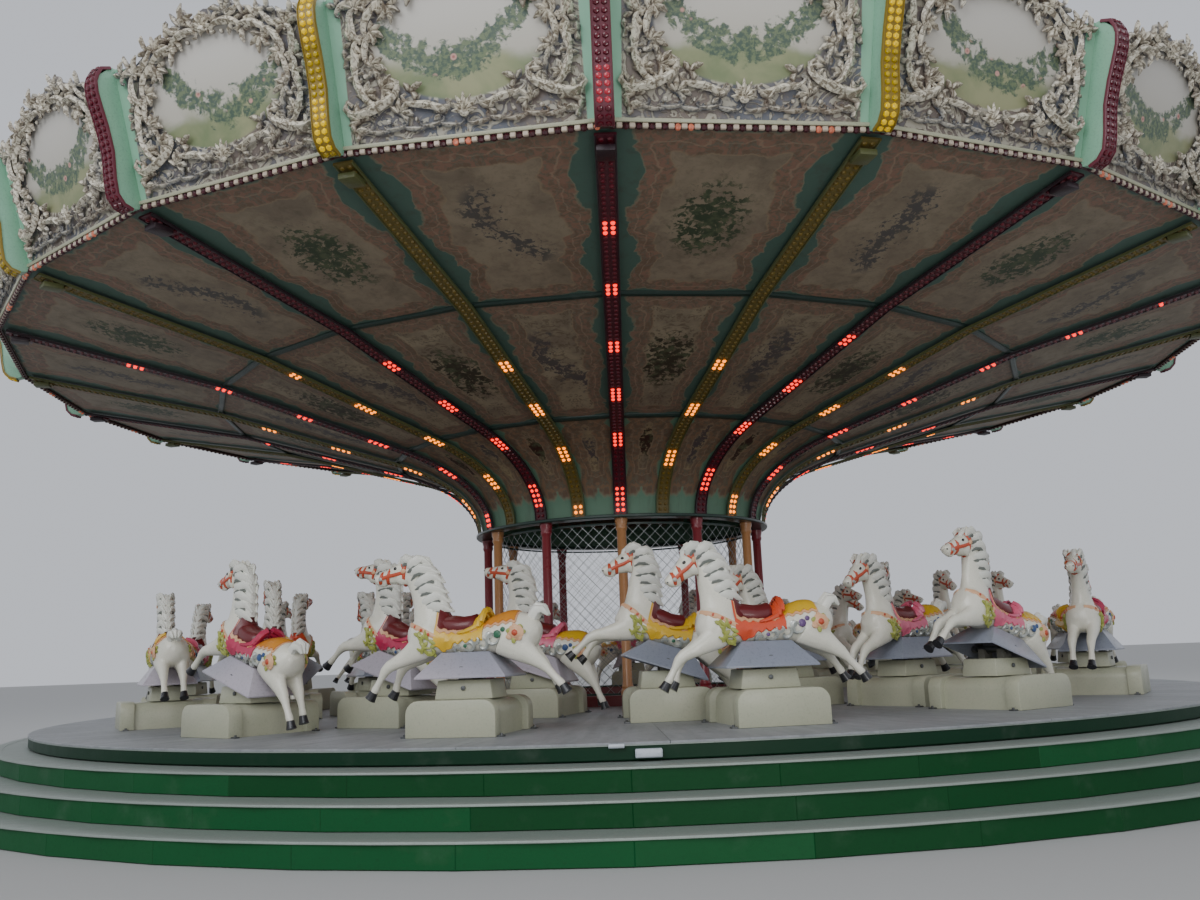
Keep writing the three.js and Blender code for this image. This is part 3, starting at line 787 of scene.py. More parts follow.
def skinned(rings):
    """A closed skin through rings that have the same number of points: a disc extruded from ring to ring."""
    obj = loop_of(rings[0], "NGON")
    edit(obj)
    bpy.ops.mesh.select_mode(type="FACE")
    bpy.ops.mesh.select_all(action="SELECT")
    for before, ring in zip(rings, rings[1:]):
        bpy.ops.mesh.extrude_region_move()
        shape = bmesh.from_edit_mesh(obj.data)
        old = [Vector(point) for point in before]
        for vertex in [v for v in shape.verts if v.select]:
            nearest = min(range(len(old)), key=lambda i: (old[i] - vertex.co).length_squared)
            vertex.co = ring[nearest]
        bmesh.update_edit_mesh(obj.data)
    finish_edit(outwards=True)
    return obj


def ways_along(points):
    """The direction at each point of a line, from the point before it to the point after it."""
    last = len(points) - 1
    return [(points[min(i + 1, last)] - points[max(i - 1, 0)]).normalized() for i in range(last + 1)]


def tube(points, radii, sides=8, flat=1.0, across=(0, 1, 0), corner=0.0):
    """A closed tapered tube through points. flat squeezes it in the direction across.

    corner is where round the tube its first edge runs, in radians."""
    points = [Vector(point) for point in points]
    rings = []
    for point, radius, along in zip(points, radii, ways_along(points)):
        side = along.cross(Vector(across))
        if side.length < 0.05:
            side = along.orthogonal()
        side.normalize()
        other = side.cross(along).normalized()
        rings.append([point + side * radius * cos(t) + other * radius * flat * sin(t)
                      for t in (corner + 2 * pi * j / sides for j in range(sides))])
    return skinned(rings)


def limb(stations, sides=14, y=0.0):
    """A round form through stations of x, z, half height and half width, in the plane y."""
    centres = [Vector((station[0], y, station[1])) for station in stations]
    rings = []
    for (x, z, high, wide), centre, along in zip(stations, centres, ways_along(centres)):
        up = Vector((-along.z, 0, along.x))
        rings.append([centre + up * high * cos(t) + Vector((0, 1, 0)) * wide * sin(t)
                      for t in (2 * pi * j / sides for j in range(sides))])
    return skinned(rings)


def ball(place, size, turn=0.0, segments=12, rings=8):
    deselect()
    bpy.ops.mesh.primitive_uv_sphere_add(segments=segments, ring_count=rings, radius=1)
    obj = bpy.context.object
    obj.scale = size
    obj.rotation_euler = (0, turn, 0)
    obj.location = place
    return settled(obj)


def shifted(stations, shift):
    """A leg whose foot is moved forwards or back, and the rest of it in proportion."""
    last = len(stations) - 1
    return [(x + shift * i / last, z, high, wide) for i, (x, z, high, wide) in enumerate(stations)]


def horse_skin():
    """Trunk, neck, head and legs, grown together and softened like a moulded shell."""
    parts = [limb(TRUNK, 20), limb(NECK, 18), limb(HEAD, 16)]
    for stations, y, shift in LEGS:
        parts.append(limb(shifted(stations, shift), 14, y))
    for side in (-1, 1):
        for (x, y, z), size, turn in MUSCLES:
            parts.append(ball((x, side * y, z), size, turn))
        parts.append(limb(EAR, 10, side * 0.034))
    parts.append(ball((-0.735, 0, 1.166), (0.050, 0.028, 0.020), 0.25))
    skin = modified(joined(*parts), "REMESH", mode="VOXEL", voxel_size=SKIN_VOXEL)
    modified(skin, "SMOOTH", factor=0.5, iterations=6)
    return modified(skin, "DECIMATE", ratio=SKIN_FACES / (2 * len(skin.data.polygons)))


FIXED_PAINTS = (
    # name, colour, gloss, dirt, patch size, bumps, metal, coat
    ("horse_cream", "eae6d6", 0.3, 0.14, 7.0, 0.001, 0.0, 0.35),
    ("mane_white", "eae9df", 0.35, 0.10, 7.0, 0.001, 0.0, 0.2),
    # Grey of the mane's grooves: the real groove paint, and painted shade between the locks
    ("mane_groove_shade", "767a74", 0.5, 0.2, 9.0, 0.001, 0.0, 0.0),
    ("hoof_black", "26262a", 0.3, 0.2, 20.0, 0.001, 0.0, 0.3),
    ("hood_grey_violet", "b9b3bf", 0.34, 0.25, 4.0, 0.001, 0.0, 0.25),
    ("harness_red", "c9502f", 0.35, 0.2, 18.0, 0.001, 0.0, 0.2),
    ("scroll_silver", "b9bcb6", 0.3, 0.3, 22.0, 0.001, 0.35, 0.0),
    ("leaf_green", "a8ad55", 0.4, 0.25, 24.0, 0.001, 0.0, 0.1),
    ("peach_trim", "e6b48c", 0.38, 0.2, 20.0, 0.001, 0.0, 0.1),
    ("eye_dark", "1c1614", 0.15, 0.0, 20.0, 0.0, 0.0, 0.6),
    ("pearl_white", "d8dcd6", 0.2, 0.05, 20.0, 0.0, 0.2, 0.6),
)
CLOTH_COLOURS = {
    "yellow": "e3b62c", "orange": "dc8f33", "red_orange": "dd5330", "magenta": "bf2f55", "pink": "e06a86",
    "maroon": "6a2024", "gem_green": "2f6b4c", "gem_blue": "3a5788", "gem_purple": "6a4a80",
}
(CREAM, MANE, GROOVE_SHADE, HOOF, HOODED, HARNESS, SILVER, LEAF, PEACH, PUPIL, PEARL, STEEL, FRONT, SEAT, CANTLE,
 REAR, GEM) = range(17)
# Colours of front cloth, seat, saddle arch, rear cloth and jewels
PALETTES = (
    ("yellow", "maroon", "yellow", "orange", "gem_green"),
    ("red_orange", "maroon", "pink", "yellow", "gem_purple"),
    ("magenta", "maroon", "orange", "orange", "gem_blue"),
    ("yellow", "red_orange", "pink", "red_orange", "gem_green"),
    ("pink", "maroon", "yellow", "yellow", "gem_blue"),
)
PAINTED = {
    "outer": (0, 1, 4, 2, 3, 0, 2, 1, 4, 0, 3, 1, 4, 0, 2),
    "middle": (2, 0, 4, 1, 3, 0, 2, 4, 1, 3, 0),
    "inner": (4, 1, 0, 2, 3, 4, 0, 1),
}
fixed_paints = [painted(*paint, space="own_place") for paint in FIXED_PAINTS] + [bolt_steel]
cloth_paints = {name: painted("horse_" + name, colour, 0.34, 0.22, 16.0, 0.001, coat=0.25, space="own_place")
                for name, colour in CLOTH_COLOURS.items()}
hood_tree = fixed_paints[HOODED].node_tree
hood_tint = noise(place_in(hood_tree), 0.55, 1).ramp(0.42, 0.56).mix("b9b1bb", "8a8f9d")
feed(hood_tree.nodes["Group"].inputs["Paint"], hood_tint)


def horse_paints(palette):
    return [*fixed_paints, *[cloth_paints[name] for name in palette]]


def in_paint(obj, number):
    return wear(obj, *horse_paints(PALETTES[0]), number=number)


def repainted(obj, materials):
    """Puts other materials in a copy's slots, in the same order."""
    for number, material in enumerate(materials):
        obj.data.materials[number] = material


trunk_line = list(zip(*sorted(station[:2] for station in TRUNK)))


def on_skin(skin, x, turn, lift):
    """The point of the skin at x, turn degrees round the trunk from its top, lifted off it."""
    outward = Vector((0, sin(radians(turn)), cos(radians(turn))))
    axis = Vector((x, 0, float(np.interp(x, *trunk_line))))
    hit = skin.ray_cast(axis + outward * 0.30, -outward)[0]
    return (hit if hit is not None else axis + outward * 0.14) + outward * lift


def cloth(skin, start, end, reach, lift, columns, rows, swell=0.0):
    """A cloth over the back from x start to end. reach(x) is how far down each side it hangs, in degrees.

    swell is how much more it lifts in its middle, like a stuffed pad."""
    deselect()
    bpy.ops.mesh.primitive_grid_add(x_subdivisions=columns, y_subdivisions=rows)
    obj = bpy.context.object
    for vertex in obj.data.vertices:
        along, aside = vertex.co.x, vertex.co.y
        x = start + (end - start) * (along + 1) / 2
        own_lift = lift + swell * (1 - along ** 4) * (1 - aside ** 2)
        vertex.co = on_skin(skin, x, aside * reach(x), own_lift)
    modified(obj, "SOLIDIFY", thickness=CLOTH_THICK, offset=0)
    edit(obj)
    finish_edit(outwards=True)
    return obj


def front_reach(x):
    """How far down the front cloth hangs at x: one deep lobe behind the shoulder, and a scalloped hem."""
    return 92 + 30 * exp(-((x + 0.165) / 0.070) ** 2) + 5 * cos((x + 0.24) * 2 * pi / 0.066)


def scallops(reach, pitch, start=0.0):
    """How far down a cloth with a scalloped hem hangs."""
    return lambda x: reach + SCALLOP * cos((x - start) * 2 * pi / pitch)


def spiral(x, turn, size, start, sweep, steps=8):
    """Points of x and turn on a curl round a place on the skin."""
    points = []
    for i in range(steps + 1):
        angle = start + sweep * i / steps
        reach = size * (1 - 0.72 * i / steps)
        points.append((x + reach * cos(angle), turn + reach * sin(angle) / DEGREE))
    return points


def hood():
    """The folded sheet metal hood under the belly, with its pivot bar and the bar's two cheeks."""
    deselect()
    bpy.ops.mesh.primitive_cube_add(size=2)
    shell = bpy.context.object
    for vertex in shell.data.vertices:
        high = vertex.co.z > 0
        vertex.co.x *= HOOD["top_length"] if high else HOOD["length"]
        vertex.co.y *= HOOD["top_depth"] if high else HOOD["depth"]
        vertex.co.z = HOOD["top"] if high else HOOD["foot"] + HOOD_HEM
    edit(shell, faces=lambda face: face.normal.z < -0.9)
    bpy.ops.mesh.extrude_region_move(TRANSFORM_OT_translate={"value": (0, 0, -HOOD_HEM)})
    bpy.ops.mesh.delete(type="FACE")
    finish_edit()
    modified(shell, "SOLIDIFY", thickness=HOOD_SHEET, offset=-1)
    eased(shell, 0.004, 2, 25)
    bar = disc(0.028, 0.41, (0, 0, PIVOT), "Y", 16, 0.003)
    cheek = [(-0.05, 0.44), (0.05, 0.44), (0.03, 0.56), (-0.03, 0.56)]
    cheeks = [slab(cheek, side * 0.150, side * 0.142, 0) for side in (-1, 1)]
    return joined(in_paint(shell, HOODED), *[in_paint(piece, STEEL) for piece in (bar, *cheeks)])


def trappings(skin):
    """Hooves, cloths, saddle and the three arches behind it."""
    parts = []
    for stations, y, shift in LEGS:
        x, z = shifted(stations, shift)[-1][:2]
        side = 1 if x > 0 else -1
        hoof = [(x - side * 0.006, z + 0.012, 0.032, 0.031), (x + side * 0.012, z - 0.018, 0.037, 0.036),
                (x + side * 0.028, z - 0.042, 0.044, 0.042)]
        parts.append(in_paint(limb(hoof, 12, y), HOOF))
    parts.append(in_paint(cloth(skin, -0.240, 0.150, front_reach, 0.009, 20, 10), FRONT))
    parts.append(in_paint(cloth(skin, -0.228, 0.105, scallops(68, 0.064), 0.014, 18, 6), PEACH))
    parts.append(in_paint(cloth(skin, -0.220, 0.095, scallops(55, 0.064), 0.021, 18, 6), SEAT))
    parts.append(in_paint(limb(SADDLE, 16), SEAT))
    parts.append(in_paint(cloth(skin, 0.150, 0.400, scallops(54, 0.062, 0.15), 0.012, 16, 6, 0.012), REAR))
    parts.append(in_paint(cloth(skin, 0.158, 0.412, scallops(62, 0.062, 0.15), 0.006, 16, 6), PEACH))
    for x, width, lift in ((0.088, 64, 0.022), (0.114, 58, 0.048), (0.140, 48, 0.078)):
        arch = [on_skin(skin, x, turn, 0.014 + lift * cos(radians(turn * 1.4)))
                for turn in range(-width, width + 1, width // 4)]
        parts.append(in_paint(tube(arch, [0.017] + [0.026] * (len(arch) - 2) + [0.017], 6), CANTLE))
    return parts


def side_ornament(skin, side):
    """One side of the trunk: piping, curls, jewels, a flower, leaves and a breast strap."""
    parts = []

    def at(x, turn, lift):
        return on_skin(skin, x, side * turn, lift)

    def stud(place, size, paint, turn=0.0, segments=6, rings=4):
        parts.append(in_paint(ball(place, size, turn, segments, rings), paint))

    def band(points, radii, paint, sides=6, flat=1.0):
        parts.append(in_paint(tube(points, radii, sides, flat), paint))

    def curl(radius, paint, steps, *shape):
        radii = [radius * (0.45 + 0.75 * sin(pi * i / steps)) for i in range(steps + 1)]
        band([at(x, turn, 0.010) for x, turn in spiral(*shape, steps)], radii, paint, 5)

    band([at(x, front_reach(x), 0.009) for x in (-0.24 + 0.0195 * i for i in range(21))], [0.007] * 21,
         CANTLE, 4)
    for shape in SILVER_CURLS:
        curl(0.014, SILVER, 8, *shape)
    flap = [at(x, turn, 0.022) for x, turn in ((-0.05, 70), (0.0, 66), (0.05, 62), (0.10, 52), (0.14, 38))]
    band(flap, (0.008, 0.014, 0.019, 0.022, 0.016), CANTLE)
    for x, turn, size, paint in ((0.205, 86, 0.030, PEARL), (0.272, 88, 0.032, GEM), (0.315, 78, 0.020, GEM),
                                 (0.075, 100, 0.022, PEARL), (0.010, 106, 0.016, GEM)):
        stud(at(x, turn, 0.006), (size, size * 0.55, size), paint, 0, 7)
    for ring, (size, paint) in enumerate(((0.068, PEACH), (0.048, PEACH), (0.028, HARNESS))):
        stud(at(*FLOWER, 0.002 + 0.007 * ring), (size, 0.014, size * 0.9), paint, 0.3 * ring, 8, 5)
    for petal in range(7):
        angle = petal * 2 * pi / 7
        place = at(FLOWER[0] + 0.056 * cos(angle), FLOWER[1] + 0.050 * sin(angle) / DEGREE, 0.006)
        stud(place, (0.026, 0.012, 0.018), PEACH if petal % 2 else LEAF, -angle)
    for shape in LEAF_CURLS:
        curl(0.015, LEAF, 7, *shape)
    for x, turn, tilt in LEAVES:
        stud(at(x, turn, 0.004), (0.038, 0.012, 0.017), LEAF, tilt)
    breast = [at(x, turn, 0.004) for x, turn in ((-0.22, 84), (-0.30, 76), (-0.38, 68), (-0.44, 58),
                                                 (-0.475, 30))]
    band(breast, (0.016, 0.021, 0.022, 0.021, 0.016), PEACH, 6, 0.4)
    for x, turn in ((-0.28, 79), (-0.34, 72.5), (-0.40, 65)):
        stud(at(x, turn, 0.010), (0.013, 0.008, 0.013), HARNESS)
    stud((-0.598, side * 0.055, 1.288), (0.017, 0.010, 0.013), PUPIL, -0.2, 8, 5)
    stud((-0.783, side * 0.030, 1.214), (0.011, 0.008, 0.008), PUPIL)
    return parts


def mane(side):
    """Locks that fall to one side of the neck, each with a grey tube under it: groove paint and painted
    shade.
    """
    parts = []
    for number, ((root_x, root_z), (end_x, end_z)) in enumerate(zip(MANE_ROOT, MANE_LINE)):
        wave = 0.012 * (-1) ** number
        points = []
        for t, spread in zip((0, 0.2, 0.42, 0.64, 0.84), (0.048, 0.064, 0.068, 0.060, 0.048)):
            rise = 0.03 * sin(pi * t) + wave * sin(2 * pi * t)
            points.append((root_x + (end_x - root_x) * t, side * spread,
                           root_z + (end_z - root_z) * t + rise))
        tip = (end_x + 0.034, side * 0.020, end_z - 0.030)
        lock = tube([*points, tip], (0.020, 0.036, 0.041, 0.040, 0.032, 0.008), 7, 0.62)
        parts.append(in_paint(lock, MANE))
        # A grey tube under the lock: groove paint and painted shade in the crevice
        low = [(x, y * 1.05, z - 0.043) for x, y, z in points]
        parts.append(in_paint(tube(low, (0.009, 0.014, 0.018, 0.016, 0.009), 5, 0.75), GROOVE_SHADE))
    return parts


def hair():
    """The crest of the mane, the forelock and the three strands of the tail."""
    crest = limb([(x - 0.030, z - 0.008, 0.040, 0.052) for x, z in MANE_LINE], 10)
    forelock = tube([(-0.47, 0, 1.36), (-0.52, -0.012, 1.372), (-0.565, -0.02, 1.345), (-0.60, -0.012, 1.31)],
                    (0.02, 0.030, 0.024, 0.006))
    parts = [crest, forelock]
    for offset, lift in ((-0.024, 0.0), (0.024, 0.008), (0.0, 0.026)):
        strand = [(0.490, offset, 0.79 + lift), (0.512, offset * 1.4, 0.850 + lift),
                  (0.545, offset * 1.7, 0.892 + lift), (0.588, offset * 1.6, 0.896 + lift * 0.5),
                  (0.628, offset, 0.852)]
        parts.append(tube(strand, (0.034, 0.043, 0.042, 0.032, 0.010), 8, 0.8))
    return [in_paint(part, MANE) for part in parts]


def bridle():
    """Three loops round the head, and on each side a cheek strap, a brow strap and two rosettes."""
    parts = []
    for x, z, high, wide in ((-0.662, 1.230, 0.063, 0.049), (-0.728, 1.214, 0.052, 0.044),
                             (-0.522, 1.256, 0.110, 0.068)):
        turns = [2 * pi * i / 12 for i in range(13)]
        loop = [(x + 0.012 * cos(t), wide * 1.03 * sin(t), z + high * 1.03 * cos(t)) for t in turns]
        parts.append(in_paint(tube(loop, [0.0065] * 13, 5, 2.4, (1, 0, 0)), HARNESS))
    for side in (-1, 1):
        cheek = [(-0.520, side * 0.071, 1.250), (-0.60, side * 0.063, 1.236), (-0.665, side * 0.051, 1.226),
                 (-0.73, side * 0.045, 1.208)]
        parts.append(in_paint(tube(cheek, [0.015] * 4, 6, 0.4), HARNESS))
        brow = [(-0.524, side * 0.067, 1.285), (-0.545, side * 0.052, 1.335), (-0.552, side * 0.020, 1.358)]
        parts.append(in_paint(tube(brow, [0.014] * 3, 6, 0.45), HARNESS))
        parts.append(in_paint(ball((-0.524, side * 0.074, 1.262), (0.022, 0.010, 0.022), 0, 8, 5), PEACH))
        parts.append(in_paint(ball((-0.728, side * 0.048, 1.206), (0.018, 0.009, 0.018), 0, 8, 5), SILVER))
    return parts


def with_own_place(obj):
    """Keeps each point's place in the piece's own frame, which the paints read on every copy."""
    places = obj.data.attributes.new("own_place", "FLOAT_VECTOR", "POINT")
    places.data.foreach_set("vector", [value for vertex in obj.data.vertices for value in vertex.co])
    return obj


def horse():
    body = in_paint(horse_skin(), CREAM)
    skin = BVHTree.FromObject(body, bpy.context.evaluated_depsgraph_get())
    parts = [body, hood(), *trappings(skin)]
    for side in (-1, 1):
        parts.extend(side_ornament(skin, side))
        parts.extend(mane(side))
    return with_own_place(joined(*parts, *hair(), *bridle()))


def nodded(obj, nod):
    """Sets the neck to its height and bows the head about its poll by nod degrees."""
    points = np.empty(len(obj.data.vertices) * 3)
    obj.data.vertices.foreach_get("co", points)
    points = points.reshape(-1, 3)
    neck = (points[:, 0] < NECK_FROM) & (points[:, 2] > NECK_FOOT)
    share = np.clip((POLL[0] - points[:, 0]) / HEAD_BLEND, 0, 1) * neck
    turn = radians(nod) * share * share * (3 - 2 * share)
    across, up = points[:, 0] - POLL[0], points[:, 2] - POLL[1]
    points[:, 0] = POLL[0] + across * np.cos(turn) + up * np.sin(turn)
    points[:, 2] = POLL[1] + up * np.cos(turn) - across * np.sin(turn)
    points[neck, 2] = NECK_FOOT + (points[neck, 2] - NECK_FOOT) * NECK_SET
    obj.data.vertices.foreach_set("co", points.ravel())
    obj.data.update()


horse_master = horse()
select(horse_master)
bpy.ops.object.shade_smooth_by_angle(angle=radians(HORSE_SMOOTH))
to_pivot = Matrix.Translation((0, 0, PIVOT))
for row in ROWS:
    for k in range(row["horses"]):
        body = "%s_horse_%02d" % (row["name"], k + 1)
        up = row["up"][k % len(row["up"])]
        rocked = to_pivot @ Matrix.Rotation(radians(ROCK if up else 0), 4, "Y") @ to_pivot.inverted()
        made = copied(horse_master, "%s_carved_horse_%02d" % (row["name"], k + 1))
        nodded(made, NODS[k % len(NODS)])
        made.data.transform(seat(row, k) @ rocked)
        repainted(made, horse_paints(PALETTES[PAINTED[row["name"]][k]]))
        fitted(made, made.name, body, "horse_cream", body, smooth=HORSE_SMOOTH)
removed(horse_master)

# The centre: twelve round posts, painted red and orange by turns, stand in a kerb and carry the lip
# ring. Inside them a fence of woven diamond wire, clipped to two rails, closes off the middle.
POSTS = 12
POST_CIRCLE = 1.70
KERB_INNER = 1.602
KERB_OUTER = 1.80
KERB_TOP = 0.68
LIP_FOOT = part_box("lip_ring")[0].z
LIP_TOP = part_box("lip_ring")[1].z
LIP_INNER = 1.645
LIP_OUTER = 1.830
MESH_RADIUS = 1.610
MESH_PITCH = 0.125
MESH_TOP = 2.545
MESH_STEPS = 8
WIRE_RADIUS = 0.0024
FENCE_RAIL = {"inner": 1.608, "outer": 1.627, "height": 0.02}
# Half of a post's outline: radius, and height over the kerb or over the lip's foot
POST_FOOT = ((CENTRE_HOLE, -0.03), (0.074, -0.03), (0.074, 0.05), (0.062, 0.07), (0.066, 0.085),
             (0.062, 0.10), (0.052, 0.12))
POST_HEAD = ((0.052, -0.14), (0.062, -0.12), (0.066, -0.10), (0.060, -0.08), (0.072, -0.03), (0.072, -0.001),
             (CENTRE_HOLE, -0.001))
post_red = painted("post_red", "8e2430", 0.3, 0.2, 8.0, 0.001, coat=0.3)
post_orange = painted("post_orange", "c48a55", 0.32, 0.2, 8.0, 0.001, coat=0.3)
kerb_red = painted("kerb_red", "6d2a2c", 0.4, 0.35, 5.0, coat=0.2)
wire_zinc = painted("wire_zinc", "b4b8b8", 0.35, 0.2, 30.0, 0.0, metallic=0.7)
lip_green = painted("lip_green", "1b3a30", 0.35, 0.3, 6.0, coat=0.2)

post = turned([[r, KERB_TOP + z] for r, z in POST_FOOT] + [[r, LIP_FOOT + z] for r, z in POST_HEAD], 18)
wear(post, post_orange, post_red)
post_places = [(about_axis(k * 360 / POSTS) @ Matrix.Translation((0, -POST_CIRCLE, 0)), k % 2)
               for k in range(POSTS)]
posts = repeated("posts", post, post_places)
removed(post)
kerb = turned([[KERB_INNER, DECK_TOP + SLIT], [KERB_OUTER, DECK_TOP + SLIT], [KERB_OUTER, KERB_TOP - 0.012],
               [KERB_OUTER - 0.012, KERB_TOP], [KERB_INNER + 0.010, KERB_TOP],
               [KERB_INNER, KERB_TOP - 0.010]], 72)
wear(kerb, kerb_red)
fitted(joined(posts, kerb), "centre_post_ring", TURNTABLE, "post_red", "centre_posts")


def wire(lean):
    """One wire of the fence, climbing round the axis at 45 degrees."""
    rise = MESH_TOP - KERB_TOP
    points = []
    for i in range(MESH_STEPS + 1):
        turn = lean * rise / MESH_RADIUS * i / MESH_STEPS
        points.append((MESH_RADIUS * sin(turn), -MESH_RADIUS * cos(turn), KERB_TOP + rise * i / MESH_STEPS))
    return tube(points, [WIRE_RADIUS] * (MESH_STEPS + 1), 4)


wires = []
wire_count = int(2 * pi * MESH_RADIUS / MESH_PITCH)
for lean in (-1, 1):
    strand = wire(lean)
    wires.append(repeated("strands", strand, [about_axis(k * 360 / wire_count) for k in range(wire_count)]))
    removed(strand)
rails = [turned_bar(FENCE_RAIL["inner"], FENCE_RAIL["outer"], foot, foot + FENCE_RAIL["height"], 72)
         for foot in (KERB_TOP + SLIT, MESH_TOP - 0.01)]
fence = joined(wear(joined(*wires), wire_zinc), wear(joined(*rails), lip_green))
fitted(fence, "centre_wire_mesh", TURNTABLE, "wire", "centre_fence")

lip_ring = turned([[LIP_INNER, LIP_FOOT], [LIP_OUTER - 0.008, LIP_FOOT], [LIP_OUTER, LIP_FOOT + 0.008],
                   [LIP_OUTER, LIP_TOP - 0.006], [LIP_OUTER - 0.008, LIP_TOP], [LIP_INNER, LIP_TOP]], 96)
wear(lip_ring, lip_green)
fitted(lip_ring, "centre_lip_ring", TURNTABLE, "trim_green", "lip_ring")

# The ceiling: 24 bays of thin panels in three rings, curving down to the lip like the bell of a horn.
# Each panel is painted, with a scrolled border and a plant in its middle, and held by bars at the rings.
BAYS = 24
BAY = 360 / BAYS
HALF_BAY = radians(BAY / 2)
FLAT = cos(HALF_BAY)
BELL_FROM = (1.760, 2.626)
BELL_TO = (2.794, 3.519)
BELL_ARC = radians(60)
BELL_STEPS = 12
OUTER_RING = (4.859, 4.104)
RIM = (6.958, 4.504)
SHEET = 0.025
BAR_HALF = 0.030
BAR_DROP = 0.025


def bell(t):
    """The ceiling's bell from the lip, t = 0, to the inner ring, t = 1, as radius and height."""
    turn = BELL_ARC * t
    across = (1 - cos(turn)) / (1 - cos(BELL_ARC))
    return (BELL_FROM[0] + (BELL_TO[0] - BELL_FROM[0]) * across,
            BELL_FROM[1] + (BELL_TO[1] - BELL_FROM[1]) * sin(turn) / sin(BELL_ARC))


BELL = [bell(i / BELL_STEPS) for i in range(BELL_STEPS + 1)]
CEILING = BELL + [OUTER_RING, RIM]

# One painted panel between two ribs: a green edge, a scrolled band, a pale field and a plant.
# Lengths are metres on the panel, and border is how far a point is inside the green edge.
panel_paint, given, out = group(
    "panel_paint",
    [("Vector", "Vector", None), ("Inner", "Float", 4.8), ("Outer", "Float", 6.9),
     ("Edge", "Color", (0.05, 0.1, 0.08, 1)), ("Band", "Color", (0.3, 0.15, 0.1, 1)),
     ("Field", "Color", (0.3, 0.27, 0.2, 1)), ("Plant", "Color", (0.05, 0.08, 0.03, 1)),
     ("Busy", "Float", 0.0)],
    [("Color", "Color"), ("Roughness", "Float")],
)
round_axis = effect(panel_paint, polar, Vector=given["Vector"])
inner, outer, busy = given["Inner"], given["Outer"], given["Busy"]
bays = (round_axis["Azimuth"] + 360.0) / BAY
bay_number = bays.of("FLOOR")
odd = bay_number % 2.0
aside = (bays.of("FRACT") - 0.5) * radians(BAY)
flat_reach = round_axis["Radius"] * aside.of("COSINE")
across = flat_reach * aside.of("TANGENT")
to_rib = flat_reach * tan(HALF_BAY) - abs(across)
to_ring = (flat_reach - inner).least(outer - flat_reach)
local = combined(across, flat_reach, bay_number * 3.7)
mirrored = combined(abs(across), flat_reach, 0.0)
grain = noise(local, 9.0, 5, 0.65)
blotches = noise(local, 3.0, 4, 0.6, 0.4)
leaves = noise(local, 16.0, 3, 0.7, 0.5)
swirls = noise(mirrored, 11.0, 4, 0.6, 1.6)

share = (flat_reach - inner) / (outer - inner)
waist = (share * (4 * pi)).of("COSINE") * (flat_reach * 0.0065)
border = (to_rib + waist - flat_reach * 0.034).least(to_ring - 0.030)
border = border + (noise(mirrored, 4.6, 3, 0.5, 0.6) - 0.5) * 0.24
border = border / (1.0 + share ** 3.0 * (1.0 - busy))
band = swirls.ramp(0.42, 0.60).mix(given["Band"], "75604f")
band = (abs(swirls - 0.52).ramp(0.030, 0.012) * 0.5).mix(band, "5f7567")
field = blotches.ramp(0.35, 0.7).mix(given["Field"], "7d705f")
field = (busy * swirls.ramp(0.50, 0.62)).mix(field, "5c4a3c")

height = flat_reach - (inner + outer) * 0.5
long_way = (outer - inner) * 0.26
bunch = ((across / (long_way * 0.62)) ** 2.0 + (height / long_way) ** 2.0).of("SQRT")
spray = (leaves - bunch * 0.22).ramp(0.32, 0.40) * bunch.ramp(1.15, 0.7)
sway = (height * 4.0 + bay_number).of("SINE") * 0.12
stem = abs(across + height * 0.35 - sway)
sprig = stem.ramp(0.012, 0.005).most((leaves - stem * 1.1).ramp(0.40, 0.45))
twig = sprig * bunch.ramp(1.25, 0.9)
plant = grain.ramp(0.45, 0.65).mix(given["Plant"], "5a6347")
plant = (odd * 0.75).mix(plant, "5b5254")

panel = (spray * (1.0 - odd)).clamped_sum(twig * odd).mix(field, plant)
panel = abs(border - 0.150).ramp(0.014, 0.003).mix(panel, "94826a")
panel = border.ramp(0.160, 0.135).mix(panel, band)
panel = (abs(border - 0.075).ramp(0.010, 0.003) * 0.45).mix(panel, "a38d76")
panel = border.ramp(0.006, -0.006).mix(panel, given["Edge"])
panel = (abs(border).ramp(0.011, 0.004) * 0.45).mix(panel, "8f8a72")
panel = (grain.ramp(0.5, 0.75) * 0.35).mix(panel, "4d443a")
feed(out["Color"], panel)
feed(out["Roughness"], 0.48 + grain * 0.2)


def panel_material(name, inner, outer, edge, band, field, plant, busy):
    material, tree, shader = plain_material(name)
    paint = effect(tree, panel_paint, Vector=place_in(tree), Inner=inner, Outer=outer, Edge=edge, Band=band,
                   Field=field, Plant=plant, Busy=busy)
    finish(shader, Base_Color=paint["Color"], Roughness=paint["Roughness"])
    return material


outer_panels = panel_material("outer_panels", OUTER_RING[0] * FLAT, RIM[0] * FLAT,
                              "4d675c", "8c6c5b", "948671", "3a4733", 0.15)
middle_panels = panel_material("middle_panels", BELL_TO[0] * FLAT, OUTER_RING[0] * FLAT,
                               "4d675c", "886d5c", "9a8d75", "3a3426", 0.6)
bell_panels = panel_material("bell_panels", 1.80, BELL_TO[0] * FLAT + 0.05,
                             "6a8f78", "8c7058", "9d8d6c", "3a1f18", 0.5)


def ceiling_ring(points, name, node_name, material, first_gap=0.0, last_gap=0.0):
    """One ring of panels, from its lower edge up to its outer edge, a little clear of its neighbours."""
    under = [list(point) for point in points]
    under[0][0] += first_gap
    under[-1][0] -= last_gap
    over = [[r - 0.6 * SHEET * (r < BELL_TO[0] - 0.01), z + SHEET] for r, z in reversed(under)]
    fitted(wear(turned(under + over, BAYS), material), name, TURNTABLE, "soffit_paint", node_name, smooth=20)


ceiling_ring([(r + SLIT, z + SLIT) for r, z in BELL], "bell_ceiling", "soffit_bell", bell_panels,
             last_gap=0.001)
ceiling_ring([BELL_TO, OUTER_RING], "middle_ceiling", "soffit_middle", middle_panels, 0.0003)
ceiling_ring([OUTER_RING, RIM], "outer_ceiling", "soffit_outer", outer_panels, 0.0003)


